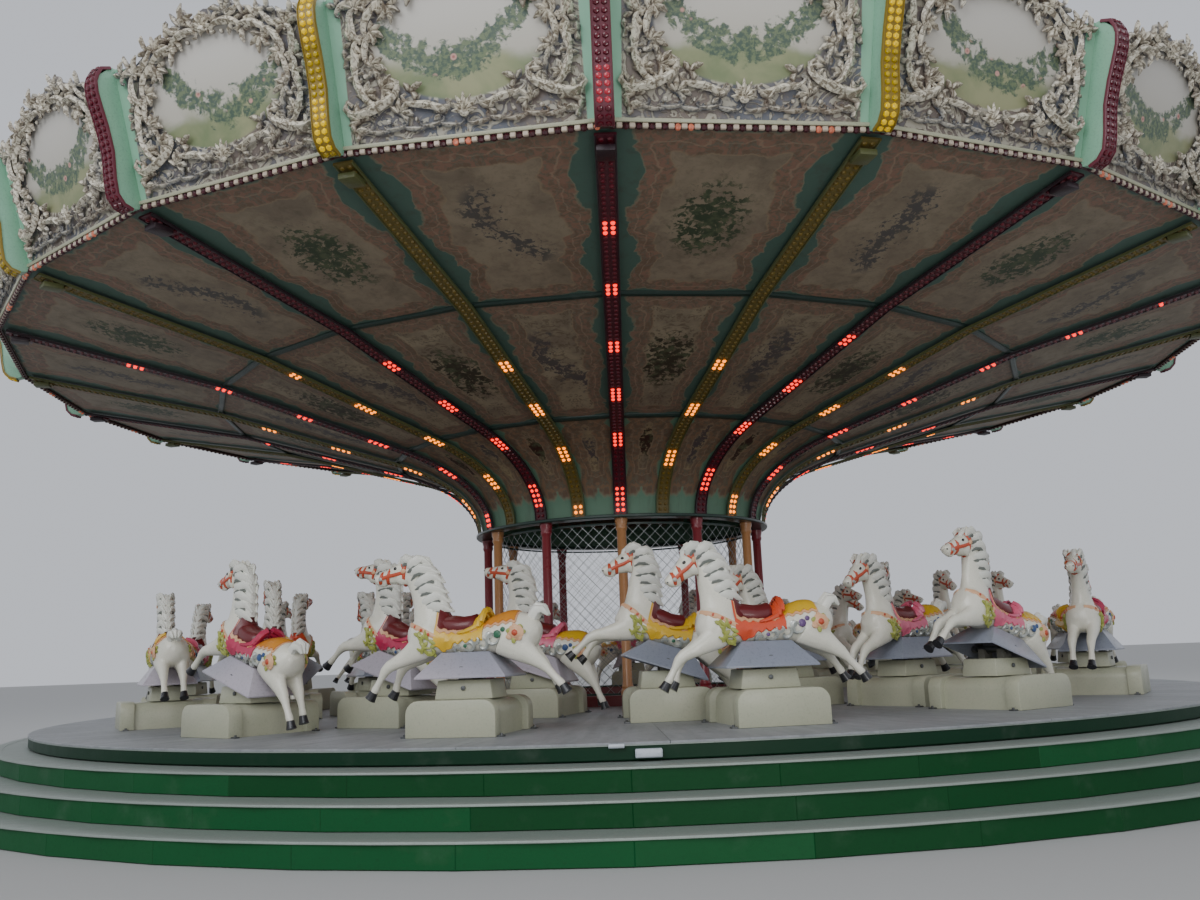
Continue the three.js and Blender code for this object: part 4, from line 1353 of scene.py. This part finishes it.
def ceiling_at(radius):
    return float(np.interp(radius, *zip(*CEILING)))


bar_green = painted("bar_green", "1c342d", 0.4, 0.35, 7.0, coat=0.15)
bar_section = ((-BAR_HALF, 0), (-BAR_HALF, BAR_DROP * 0.5), (-BAR_HALF * 0.6, BAR_DROP),
               (BAR_HALF * 0.6, BAR_DROP), (BAR_HALF, BAR_DROP * 0.5), (BAR_HALF, 0), (0, 0))
for name, node_name, radius in (("outer_ceiling_bar", "outer_ring_bar", OUTER_RING[0]),
                                ("inner_ceiling_bar", "inner_ring_bar", BELL_TO[0])):
    ring_bar = turned([[radius + x, ceiling_at(radius + x) - SLIT - drop] for x, drop in bar_section], BAYS)
    wear(ring_bar, bar_green)
    fitted(ring_bar, name, TURNTABLE, "trim_green", node_name)

# The light ribs: 24 folded metal channels, dark red and gold by turns, screwed under the ceiling's
# corners from the lip to the rim. Each holds a double row of glass cabochon lamps, some of them lit.
RIB_TOP = 0.027
RIB_BOTTOM = 0.052
RIB_HALF = 0.075
RIB_END = 6.918
RIB_FOOT = 2.66
LAMP_RADIUS = 0.021
LAMP_HEIGHT = 0.018
LAMP_SPACING = 0.064
LAMP_ASIDE = 0.030
LAMP_GROUP = 14
LAMP_DARK, LAMP_LIT = 2, 3


def glass(name, colour, glow=0.0, glow_colour="000000", haze=0.16, gleam=0.5):
    """Coloured lamp glass, deeper in places, that glows where its lamp is lit."""
    material, tree, shader = plain_material(name)
    clear = linear(colour)
    deep = tuple(0.55 * channel for channel in clear[:3]) + (1.0,)
    tint = noise(place_in(tree), 45.0, 2, 0.5).ramp(0.3, 0.7).mix(clear, deep)
    finish(shader, Base_Color=tint, Roughness=haze, Coat_Weight=gleam, Coat_Roughness=0.05)
    if glow:
        finish(shader, Emission_Color=linear(glow_colour), Emission_Strength=glow)
    return material


def swept(line, profile):
    """A profile of x and depth swept along a line of radius and height, at azimuth 0. Depth runs outwards."""
    rings = []
    for (r, z), (dr, dz) in zip(line, ways_along([Vector(point) for point in line])):
        rings.append([Vector((x, -(r + dz * depth), z - dr * depth)) for x, depth in profile])
    return skinned(rings)


def dome(radius, height, segments=6):
    """A cabochon: a ball's upper half, flattened, facing +z."""
    obj = ball((0, 0, 0), (radius, radius, height), 0, segments, 4)
    edit(obj)
    bpy.ops.mesh.bisect(plane_co=(0, 0, 0), plane_no=(0, 0, 1), use_fill=True, clear_inner=True)
    finish_edit()
    for polygon in obj.data.polygons:
        polygon.use_smooth = polygon.normal.z > -0.9
    return obj


def lamps_on(line, depth, spacing, aside, margin):
    """Places for a double row of lamps along a line of radius and height, each with its row number."""
    lengths = [0.0]
    for (r0, z0), (r1, z1) in zip(line, line[1:]):
        lengths.append(lengths[-1] + hypot(r1 - r0, z1 - z0))
    ways = ways_along([Vector(point) for point in line])
    total = lengths[-1] - 2 * margin
    rows = int(total / spacing)
    sideways = Vector((1, 0, 0))
    places = []
    for i in range(rows + 1):
        run = margin + total * i / rows
        r, z = (float(np.interp(run, lengths, [point[n] for point in line])) for n in (0, 1))
        heading = Vector([float(np.interp(run, lengths, [way[n] for way in ways])) for n in (0, 1)])
        dr, dz = heading.normalized()
        outward = Vector((0, -dz, -dr))
        facing = Matrix((sideways, outward.cross(sideways), outward)).transposed().to_4x4()
        for x in (-aside, aside):
            places.append((Matrix.Translation(Vector((x, -(r + dz * depth), z - dr * depth))) @ facing, i))
    return places


def lit(rib, row):
    """Groups of lit lamps: longer and closer towards the lip."""
    inner = 1 - row / lamp_rows
    group = (row + rib * 5) % LAMP_GROUP
    return group < 2 + 2.4 * inner ** 1.5 and (inner > 0.42 or (rib % 4 == 0 and inner > 0.1))


rib_red_paints = (painted("rib_red", "54202c", 0.42, 0.35, 9.0, coat=0.15),
                  painted("rib_flank", "2e1b24", 0.45, 0.35, 9.0, coat=0.1),
                  glass("lamp_red", "6e1526", haze=0.3, gleam=0.2),
                  glass("lamp_red_lit", "ff3a2a", 2.6, "ff2418"))
rib_gold_paints = (painted("rib_gold", "6f6132", 0.5, 0.3, 9.0, coat=0.05),
                   painted("rib_olive", "5c6038", 0.45, 0.35, 9.0, coat=0.1),
                   glass("lamp_gold", "7d6824", haze=0.42, gleam=0.0),
                   glass("lamp_gold_lit", "ffb03a", 3.2, "ff8414"))
half_way = ((BELL_TO[0] + OUTER_RING[0]) / 2, (BELL_TO[1] + OUTER_RING[1]) / 2)
rib_line = [(BELL_FROM[0], BELL_FROM[1] + 0.001), *[point for point in BELL if point[1] > RIB_FOOT],
            half_way, OUTER_RING, (RIB_END, ceiling_at(RIB_END))]
channel = [(-RIB_HALF, RIB_TOP), (RIB_HALF, RIB_TOP), (RIB_HALF, RIB_BOTTOM - 0.004),
           (RIB_HALF - 0.004, RIB_BOTTOM), (RIB_HALF - 0.012, RIB_BOTTOM),
           (RIB_HALF - 0.014, RIB_BOTTOM - 0.010), (-RIB_HALF + 0.014, RIB_BOTTOM - 0.010),
           (-RIB_HALF + 0.012, RIB_BOTTOM), (-RIB_HALF + 0.004, RIB_BOTTOM),
           (-RIB_HALF, RIB_BOTTOM - 0.004)]
rib_master = wear(swept(rib_line, channel), *rib_red_paints)
for polygon in rib_master.data.polygons:
    polygon.material_index = 1 if abs(polygon.center.x) > RIB_HALF - 0.016 else 0
lamp_places = lamps_on(rib_line, RIB_BOTTOM - 0.009, LAMP_SPACING, LAMP_ASIDE, 0.05)
lamp_rows = lamp_places[-1][1]
lamp_master = wear(dome(LAMP_RADIUS, LAMP_HEIGHT), *rib_red_paints)
feed_box = wear(cube((0.13, 0.16, 0.045), (0, -6.80, ceiling_at(6.80) - 0.085), 0.006), *rib_red_paints,
                number=1)
grip = wear(cube((0.12, 0.022, 0.016), (0, -6.70, ceiling_at(6.70) - 0.066)), *rib_red_paints)
for k in range(BAYS):
    rib_body = copied(rib_master, "rib")
    lamps = repeated("lamps", lamp_master, [(spot, LAMP_LIT if lit(k, row) else LAMP_DARK)
                                            for spot, row in lamp_places])
    light_rib = joined(rib_body, lamps, copied(feed_box, "feed_box"), copied(grip, "grip"))
    light_rib.data.transform(about_axis(k * BAY))
    if k % 2:
        repainted(light_rib, rib_gold_paints)
    fitted(light_rib, "light_rib_%02d" % (k + 1), TURNTABLE, "rib_paint", "light_ribs")
removed(rib_master, lamp_master, feed_box, grip)

# The rail of small lamps under the rounding boards: a cream rail with about twenty dark red bulbs to
# a bay, each between two turned wooden teeth. It is screwed to the feet of the boards.
RAIL_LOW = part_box("rim_bulb_rail")[0].z
RAIL_INNER = 6.966
RAIL_OUTER = 7.006
RAIL_BULBS = 20
RAIL_END = 0.05
BOARD_FOOT = 4.50
rail_paints = (painted("rail_back", "4a2a2a", 0.5, 0.4, 10.0),
               painted("rail_cream", "c4b3a0", 0.42, 0.35, 14.0, coat=0.1),
               glass("bulb_dark", "4a1420", haze=0.3, gleam=0.2),
               glass("bulb_lit", "cf8068", 0.18, "ff7a50"))
rail_face = RAIL_OUTER - 0.012
rail = turned([[RAIL_INNER, RAIL_LOW + 0.002], [rail_face, RAIL_LOW + 0.002],
               [rail_face, BOARD_FOOT - 0.004], [RAIL_OUTER, BOARD_FOOT - 0.004],
               [RAIL_OUTER, BOARD_FOOT - SLIT], [RAIL_INNER, BOARD_FOOT - SLIT]], BAYS)
wear(rail, *rail_paints)
bulb = wear(ball((0, 0, 0), (0.022, 0.022, 0.026), 0, 6, 4), *rail_paints)
tooth = wear(cube((0.040, 0.026, 0.036), (0, 0, 0), 0.005, 1), *rail_paints)
bulb_places, tooth_places = [], []
rail_reach = (RAIL_OUTER - 0.014) * FLAT
rail_half = rail_reach * tan(HALF_BAY) - RAIL_END
for k in range(BAYS):
    facing = about_axis((k + 0.5) * BAY)
    for i in range(RAIL_BULBS + 1):
        x = -rail_half + 2 * rail_half * i / RAIL_BULBS
        shining = (i + 7 * k) % 11 in (5, 6) and k % 3 != 1
        on_rail = Matrix.Translation((x, -rail_reach - 0.004, RAIL_LOW + 0.006))
        bulb_places.append((facing @ on_rail, LAMP_LIT if shining else LAMP_DARK))
        if i < RAIL_BULBS:
            between = Matrix.Translation((x + rail_half / RAIL_BULBS, -rail_reach - 0.006, RAIL_LOW + 0.011))
            tooth_places.append((facing @ between, 1))
lamp_rail = joined(rail, repeated("bulbs", bulb, bulb_places), repeated("teeth", tooth, tooth_places))
fitted(lamp_rail, "rim_lamp_rail", TURNTABLE, "trim_green", "rim_bulb_rail")
removed(bulb, tooth)

# The rounding boards: 24 carved and painted boards that lean outwards round the rim. A flat backboard
# carries mint green sides, carved scrolls and leaves in cream and silver, and a painted field.
# A board is made once in its own frame: x across, z up the board from its foot, -y out of its face.
LEAN = radians(16)
BOARD_REACH = 6.94
FACE = 0.022
BACK = 0.018
FOOT_HALF = 0.892
SCROLL_SIDES = 4
SCROLL_WEIGHT = 1.20
BLADE_SIDES = 3
RIDGE = -pi / 2
# The right half of the board's top edge, from its side to its middle
CREST = ((0.924, 0.94), (0.880, 1.005), (0.800, 0.985), (0.740, 1.010), (0.690, 0.985), (0.600, 1.030),
         (0.560, 1.075), (0.500, 1.060), (0.455, 1.125), (0.405, 1.085), (0.350, 1.115), (0.300, 1.165),
         (0.260, 1.150), (0.215, 1.240), (0.190, 1.255), (0.165, 1.190), (0.110, 1.165), (0.055, 1.190),
         (0.0, 1.205))
FOOT_SCROLLS = (0.10, 0.225, 0.35, 0.475, 0.60, 0.700)
# Scrolls: x, height, heading, length, bend, back curl, front curl, radius, lift
SCROLLS = (
    (0.60, 0.245, -0.35, 0.66, 1.15, 4.6, 5.0, 0.030, 0.050),
    (0.70, 0.375, 1.15, 0.42, 0.9, 4.2, 4.6, 0.025, 0.040),
    (0.26, 0.235, 0.22, 0.44, -0.8, 4.4, 3.8, 0.024, 0.042),
    (0.715, 0.560, 1.62, 0.36, -0.9, 4.6, 4.2, 0.025, 0.045),
    (0.640, 0.640, 1.75, 0.34, 0.9, 4.0, 4.6, 0.021, 0.042),
    (0.725, 0.790, 1.45, 0.34, 1.0, 4.6, 4.4, 0.025, 0.045),
    (0.600, 0.850, 2.15, 0.38, 0.9, 4.2, 4.6, 0.024, 0.046),
    (0.430, 0.985, 2.75, 0.40, 1.0, 4.4, 4.0, 0.024, 0.048),
    (0.560, 0.970, 2.35, 0.30, -1.0, 4.4, 4.6, 0.021, 0.042),
    (0.200, 1.060, 2.95, 0.40, 0.9, 4.6, 4.0, 0.026, 0.050),
    (0.290, 1.110, 0.55, 0.24, 1.2, 4.2, 4.2, 0.020, 0.042),
    (0.775, 0.930, 2.6, 0.22, 1.2, 4.2, 4.2, 0.019, 0.038),
)
# Fans of leaves: x, height, heading, length, number of leaves
PLUMES = (
    (0.715, 0.175, 0.9, 0.11, 5), (0.445, 0.190, 1.9, 0.11, 5), (0.560, 0.370, 2.6, 0.12, 5),
    (0.715, 0.465, 0.9, 0.09, 3), (0.620, 0.520, 2.9, 0.11, 5), (0.725, 0.690, 0.7, 0.09, 3),
    (0.610, 0.740, 3.0, 0.10, 5), (0.690, 0.900, 1.4, 0.13, 5), (0.480, 0.900, 3.9, 0.12, 5),
    (0.460, 1.010, 1.7, 0.12, 5), (0.330, 0.985, 4.2, 0.10, 3), (0.345, 1.060, 1.4, 0.11, 3),
    (0.190, 1.110, 1.25, 0.15, 5), (0.080, 1.080, 1.9, 0.12, 3), (0.815, 0.930, 1.4, 0.09, 3),
    (0.360, 0.330, 2.1, 0.09, 3), (0.660, 0.330, 1.3, 0.09, 5), (0.160, 0.165, 0.5, 0.08, 3),
    (0.790, 0.585, 2.7, 0.08, 3), (0.665, 0.610, 0.4, 0.07, 3), (0.545, 1.040, 0.9, 0.10, 3),
    (0.270, 1.040, 3.6, 0.09, 3), (0.765, 0.100, 2.4, 0.08, 3), (0.720, 0.960, 0.7, 0.09, 3),
)
PLUME_LENGTH = 1.15
PLUME_SPREAD = 0.9
PLUME_WIDTH = 0.026
# Carved berries: x, height, size
BERRIES = ((0.735, 0.270, 0.020), (0.52, 0.15, 0.018), (0.655, 0.460, 0.018), (0.68, 0.71, 0.020),
           (0.53, 0.92, 0.017), (0.37, 1.03, 0.018), (0.155, 1.00, 0.018), (0.33, 0.15, 0.016))


def carving_material():
    """Cream and silver carving, with painted shade: darker and bluer in its hollows, brown in fine cuts."""
    material, tree, shader = plain_material("carved_cream")
    own = place_in(tree, "own_place")
    # Noise for uneven gloss and bumps, which also wobbles the edge of the painted shade
    grime_and_shade_noise = noise(own, 26.0, 4, 0.65)
    cut_shade = noise(own, 25.0, 3, 0.55, 1.3)
    # Painted shade for the hollows, blue-grey and brown by turns
    hollow_shade = noise(own, 3.2, 3, 0.5).ramp(0.42, 0.58).mix("565b66", "705f52")
    # The raised carving in cream, with painted brown shade in fine cuts that are not modelled
    raised = cut_shade.ramp(0.44, 0.62).mix("e9e1cd", "8d8270")
    # How far a point stands off the board: the deeper points take the painted shade of the hollows
    height = split(own)[1] * -1.0 + (grime_and_shade_noise - 0.5) * 0.03
    finish(shader, grime_and_shade_noise - cut_shade.ramp(0.42, 0.62), 0.8, 0.007,
           Base_Color=height.ramp(0.036, 0.078).mix(hollow_shade, raised), Roughness=0.28 + grime_and_shade_noise * 0.3,
           Coat_Weight=0.25, Coat_Roughness=0.2)
    return material


def field_material():
    """The backboard: mint sides, a ground under the carving painted with the light and shade of low relief,
    and a pale field with a garland.
    """
    material, tree, shader = plain_material("board_face")
    variant = Shade(node(tree, "ShaderNodeAttribute", attribute_name="variant").outputs["Fac"])
    x, depth, v = split(place_in(tree, "own_place"))
    place = combined(x, v, variant * 5.3)
    wide = noise(place, 2.2, 4, 0.55, 0.3)
    leafy = noise(place, 13.0, 4, 0.65, 0.4)
    fine = noise(place, 34.0, 3, 0.6)
    roses = Shade(node(tree, "ShaderNodeTexVoronoi", {"Vector": place, "Scale": 7.5}).outputs["Distance"])
    sky = v.ramp(0.45, 0.95).mix("bcb7aa", "cdc9c1")
    meadow = wide.ramp(0.35, 0.65).mix("76845e", "9a9b76")
    picture = (v - (0.50 + (wide - 0.5) * 0.45)).ramp(-0.05, 0.07).mix(meadow, sky)
    bow = (x + (variant * 2.1).of("SINE") * 0.12) ** 2.0 * 1.1 + 0.50
    off_bow = abs(v - bow)
    garland = (off_bow + (0.5 - leafy) * 0.30).ramp(0.125, 0.085) * leafy.ramp(0.36, 0.48)
    picture = (garland * 0.95).mix(picture, fine.ramp(0.4, 0.6).mix("40564a", "6b7a5a"))
    petals = roses.ramp(0.20, 0.13) * off_bow.ramp(0.10, 0.06)
    picture = petals.mix(picture, roses.ramp(0.04, 0.12).mix("a5645e", "c99a8e"))
    # Painted light on the ground: cream highlights on winding ridges over dark grey-brown painted shade, so
    # the flat ground reads as dense carving; the ridges are also raised as bumps
    raised = abs((noise(place, 6.5, 2, 0.5, 1.6) * 4.0).of("FRACT") - 0.5).ramp(0.34, 0.14)
    painted_relief = wide.ramp(0.40, 0.60).mix("666a74", "7c7068")
    painted_relief = (raised * 0.85).mix(painted_relief, "bdb7a6")
    painted_relief = fine.ramp(0.55, 0.70).mix(painted_relief, "8b7f70")
    round_field = ((x / 0.585) ** 2.0 + ((v - 0.66) / 0.40) ** 2.0).of("SQRT")
    face = round_field.ramp(0.98, 1.04).mix(picture, painted_relief)
    face = abs(x).ramp(0.800, 0.806).mix(face, "90c0a4")
    on_ground = round_field.ramp(1.0, 1.05) * abs(x).ramp(0.800, 0.790)
    finish(shader, raised * on_ground, 0.7, 0.012, Base_Color=face, Roughness=0.35 + fine * 0.25)
    return material


BOARD_PAINTS = (field_material(), carving_material(),
                painted("foot_cream", "b5b49a", 0.4, 0.35, 10.0, coat=0.1, space="own_place"),
                painted("batten_wood", "8b7c63", 0.6, 0.5, 6.0))
FIELD, CARVING, BOARD_HEM, BATTEN = range(4)


def scroll(x, v, heading, length, bend, curl_back, curl_ahead, radius, lift, steps=7):
    """A carved scroll whose middle is at x, v. Angles in radians; the curls are how far its ends roll in."""
    halves = []
    for way, curl in ((-1, curl_back), (1, curl_ahead)):
        px, pv = x, v
        points = []
        for i in range(1, steps + 1):
            t = (i - 0.5) / steps
            angle = heading + way * bend * t / 2 + way * curl * t ** 4
            px += way * cos(angle) * length / 2 / steps
            pv += way * sin(angle) * length / 2 / steps
            points.append((px, pv, 1 - 0.60 * (i / steps)))
        halves.append(points)
    line = list(reversed(halves[0])) + [(x, v, 1.0)] + halves[1]
    points = [Vector((px, -FACE - lift * (0.45 + 0.55 * size), pv)) for px, pv, size in line]
    return tube(points, [radius * SCROLL_WEIGHT * size for px, pv, size in line], SCROLL_SIDES, corner=RIDGE)


def blade(x, v, heading, length, width, bend, lift):
    """One blunt, ridged leaf that springs from x, v."""
    points, radii = [], []
    px, pv = x, v
    for i, size in enumerate((0.50, 1.0, 1.0, 0.30)):
        points.append(Vector((px, -FACE - lift * (0.4 + 0.6 * sin(pi * i / 4)), pv)))
        radii.append(width * size)
        angle = heading + bend * (i + 1) / 4
        px += cos(angle) * length / 3
        pv += sin(angle) * length / 3
    return tube(points, radii, BLADE_SIDES, 0.8, corner=RIDGE)


def plume(x, v, heading, length, blades):
    """A fan of leaves, longest in the middle, each curled to one side."""
    made = []
    for i in range(blades):
        t = 2 * i / (blades - 1) - 1
        own_length = length * PLUME_LENGTH * (1 - 0.30 * abs(t))
        own_lift = 0.035 + 0.010 * (1 - abs(t))
        made.append(blade(x, v, heading + PLUME_SPREAD * t, own_length, PLUME_WIDTH, 1.5 * t + 1.1, own_lift))
    return made


def half_carving():
    """The carving to the right of the board's middle line."""
    parts = []
    for i, x in enumerate(FOOT_SCROLLS):
        parts.append(scroll(x, 0.090 + 0.012 * (i % 2), 0.12 * (-1) ** i, 0.23,
                            0.5, 2.6, 3.4, 0.016, 0.028, 6))
    parts.extend(scroll(*shape) for shape in SCROLLS)
    for shape in PLUMES:
        parts.extend(plume(*shape))
    for x, v, size in BERRIES:
        parts.append(ball((x, -FACE - 0.03, v), (size, size, size), 0, 7, 4))
    return joined(*parts)


def middle_shells():
    """Two fans of seven leaves round a berry, at the foot and at the crown of the board."""
    parts = []
    for t in (i / 3 - 1 for i in range(7)):
        for height, spread, length in ((0.155, 1.15, 0.135), (1.055, 1.25, 0.125)):
            own_length = length * (1 - 0.25 * abs(t))
            parts.append(blade(0.012 * t, height, pi / 2 + spread * t, own_length, 0.017, 0.5 * t, 0.055))
    parts.append(ball((0, -FACE - 0.05, 0.150), (0.032, 0.022, 0.024), 0, 10, 6))
    parts.append(ball((0, -FACE - 0.05, 1.050), (0.034, 0.024, 0.026), 0, 10, 6))
    return parts


def board():
    outline = [(-FOOT_HALF, 0.002), (FOOT_HALF, 0.002), *CREST, *[(-x, v) for x, v in reversed(CREST[:-1])]]
    backing = wear(slab(outline, -FACE, BACK, 0.003, 1), *BOARD_PAINTS)
    for polygon in backing.data.polygons:
        polygon.material_index = BATTEN if polygon.normal.y > 0.5 else FIELD
    right_side = half_carving()
    left_side = copied(right_side, "left", Matrix.Scale(-1, 4, (1, 0, 0)))
    left_side.data.flip_normals()
    carved = joined(right_side, left_side, *middle_shells())
    hem = [(-FOOT_HALF, 0.003), (FOOT_HALF, 0.003), (FOOT_HALF, 0.030), (-FOOT_HALF, 0.030)]
    foot = slab(hem, -FACE - 0.020, -FACE + 0.002)
    battens = [cube((0.06, 0.022, 0.86), (x, 0.028, 0.50), 0.004, 1) for x in (-0.55, 0.0, 0.55)]
    battens.append(cube((1.60, 0.018, 0.06), (0, 0.027, 0.86), 0.004, 1))
    return with_own_place(joined(backing, wear(carved, *BOARD_PAINTS, number=CARVING),
                                 wear(foot, *BOARD_PAINTS, number=BOARD_HEM),
                                 wear(joined(*battens), *BOARD_PAINTS, number=BATTEN)))


board_master = board()
on_rim = (Matrix.Translation((0, -BOARD_REACH, BOARD_FOOT)) @ Matrix.Rotation(LEAN, 4, "X")
          @ Matrix.Translation((0, FACE, 0)))
board_nodes = ["rounding_boards_%d" % k for k in range(1, 5)]
for k in range(BAYS):
    made = copied(board_master, "rounding_board_%02d" % (k + 1), about_axis((k + 0.5) * BAY) @ on_rim)
    variant = made.data.attributes.new("variant", "FLOAT", "POINT")
    variant.data.foreach_set("value", [float(k * 5 % BAYS)] * len(made.data.vertices))
    fitted(made, made.name, TURNTABLE, "carved_cream", board_nodes[k // 6])
removed(board_master)

# The fins: hollow mint green boxes that cover the joints between the boards, drawn out in a long S.
# A lamp strip, gold or dark red by turns, is screwed to the outer edge of each and curls under its foot.
# Outlines are radius and height over the deck, from the top down.
FIN_TOP = (7.30, 4.903)
FIN_BACK = ((7.196, 4.907), (7.136, 4.716), (7.076, 4.540), (7.024, 4.351), (6.980, 4.159), (6.966, 3.934))
FIN_FRONT = ((7.396, 4.790), (7.405, 4.740), (7.392, 4.660), (7.352, 4.560), (7.296, 4.430), (7.240, 4.259),
             (7.212, 4.060), (7.186, 3.950), (7.130, 3.893), (7.060, 3.876), (7.012, 3.890))
FIN_HALF = 0.056
STRIP_START = ((7.300, 4.885), (7.372, 4.850))
STRIP_HALF = 0.065
STRIP_FACE = 0.012
STRIP_EDGE = 0.020
FIN_LAMP = {"depth": 0.011, "spacing": 0.049, "aside": 0.026, "margin": 0.03}
fin_mint = painted("fin_mint", "8ec0a3", 0.32, 0.22, 5.0, 0.001, coat=0.3)
fin_gold_paints = (fin_mint, painted("strip_gold", "8c7418", 0.4, 0.3, 12.0, coat=0.2),
                   glass("lamp_yellow", "c9aa12"), glass("lamp_yellow_lit", "f0cc08", 0.24, "ffc800"))
fin_red_paints = (fin_mint, painted("strip_red", "6c2838", 0.4, 0.3, 12.0, coat=0.2),
                  glass("lamp_crimson", "6a1226"), glass("lamp_crimson_lit", "a83648", 0.18, "ff4040"))


def on_deck(points):
    return [(r, z + DECK_TOP) for r, z in points]


def fin_lit(fin, row):
    """Half of the gold lamps are lit, and on every other crimson strip a few near the foot."""
    if fin % 2:
        return (row + 3 * fin) % 14 < 7
    return fin % 4 == 0 and 2 < row < 8


fin_body = slab(on_deck([*FIN_BACK, *reversed(FIN_FRONT), FIN_TOP]), -FIN_HALF, FIN_HALF, 0.007)
fin_body.data.transform(Matrix.Rotation(-pi / 2, 4, "Z"))
strip_line = list(reversed(on_deck([*STRIP_START, *FIN_FRONT[:-1]])))
strip = swept(strip_line, [(-STRIP_HALF, -0.004), (STRIP_HALF, -0.004), (STRIP_HALF, STRIP_FACE),
                           (STRIP_HALF - 0.004, STRIP_EDGE), (STRIP_HALF - 0.008, STRIP_EDGE),
                           (STRIP_HALF - 0.010, STRIP_FACE), (0.010 - STRIP_HALF, STRIP_FACE),
                           (0.008 - STRIP_HALF, STRIP_EDGE), (0.004 - STRIP_HALF, STRIP_EDGE),
                           (-STRIP_HALF, STRIP_FACE)])
wear(fin_body, *fin_gold_paints)
wear(strip, *fin_gold_paints, number=1)
fin_lamp = wear(dome(0.0235, LAMP_HEIGHT), *fin_gold_paints)
fin_places = lamps_on(strip_line, **FIN_LAMP)
for k in range(BAYS):
    lamps = repeated("lamps", fin_lamp, [(spot, LAMP_LIT if fin_lit(k, row) else LAMP_DARK)
                                         for spot, row in fin_places])
    made = joined(copied(fin_body, "fin"), copied(strip, "strip"), lamps)
    made.data.transform(about_axis(k * BAY))
    if k % 2 == 0:
        repainted(made, fin_red_paints)
    fitted(made, "fin_%02d" % (k + 1), TURNTABLE, "fin_mint", board_nodes[k // 6])
removed(fin_body, strip, fin_lamp)

# The roof: 24 sheet metal bays with standing seams on a rim beam of folded steel, closed by a turned
# cap with a knob. It can only be seen from above, and its height is what such a roof needs for rain.
ROOF_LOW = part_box("rim_beam")[1].z + SLIT
ROOF_FOOT = 6.958
ROOF_HEAD = 0.56
ROOF_RISE = 1.24
ROOF_TOP = ROOF_LOW + ROOF_RISE + SHEET
SEAM_SUNK = 0.004
# The cap's outline: radius, and height over its foot
CAP = ((CENTRE_HOLE, 0), (0.636, 0), (0.640, 0.010), (0.636, 0.040), (0.600, 0.052), (0.560, 0.085),
       (0.500, 0.115), (0.400, 0.150), (0.290, 0.182), (0.180, 0.200), (0.110, 0.208), (0.075, 0.220),
       (0.055, 0.245), (0.058, 0.275), (0.085, 0.300), (0.092, 0.330), (0.080, 0.362), (0.050, 0.386),
       (CENTRE_HOLE, 0.399))
wear(bpy.data.objects["rim_beam"], painted("beam_steel", "5f6366", 0.5, 0.5, 6.0, metallic=0.5))
roof = turned([[ROOF_HEAD, ROOF_LOW + ROOF_RISE], [ROOF_FOOT, ROOF_LOW],
               [ROOF_FOOT, ROOF_LOW + SHEET - 0.006], [ROOF_FOOT - 0.01, ROOF_LOW + SHEET],
               [ROOF_HEAD, ROOF_TOP]], BAYS)
slope = atan2(ROOF_RISE, ROOF_FOOT - ROOF_HEAD)


def seam(azimuth, foot, head, width, height):
    """A standing seam that runs up the roof from radius foot to radius head."""
    bar = cube((width, (foot - head) / cos(slope), height), (0, 0, 0), 0.004, 1)
    reach = (foot + head) / 2
    level = ROOF_LOW + SHEET + (ROOF_FOOT - reach) * tan(slope) + height / 2 - SEAM_SUNK
    bar.data.transform(about_axis(azimuth) @ Matrix.Translation((0, -reach, level))
                       @ Matrix.Rotation(slope, 4, "X"))
    return bar


seams = []
for k in range(BAYS):
    seams.append(seam(k * BAY, ROOF_FOOT - 0.06, 0.70, 0.034, 0.016))
    for offset, head in ((-0.25, 3.4), (0.0, 1.8), (0.25, 3.4)):
        seams.append(seam((k + 0.5 + offset) * BAY, (ROOF_FOOT - 0.10) * FLAT, head, 0.020, 0.014))
roof_piece = wear(joined(roof, *seams), painted("roof_sheet", "6f7672", 0.5, 0.5, 1.4, 0.002, metallic=0.4))
fitted(roof_piece, "roof_sheets", TURNTABLE, "roof_sheet", "canopy_roof")

cap = turned([[r, ROOF_TOP + SLIT + z] for r, z in CAP], 48)
wear(cap, painted("cap_mint", "7fb394", 0.38, 0.35, 4.0, coat=0.2))
fitted(cap, "roof_cap_dome", TURNTABLE, "fin_mint", "roof_cap")
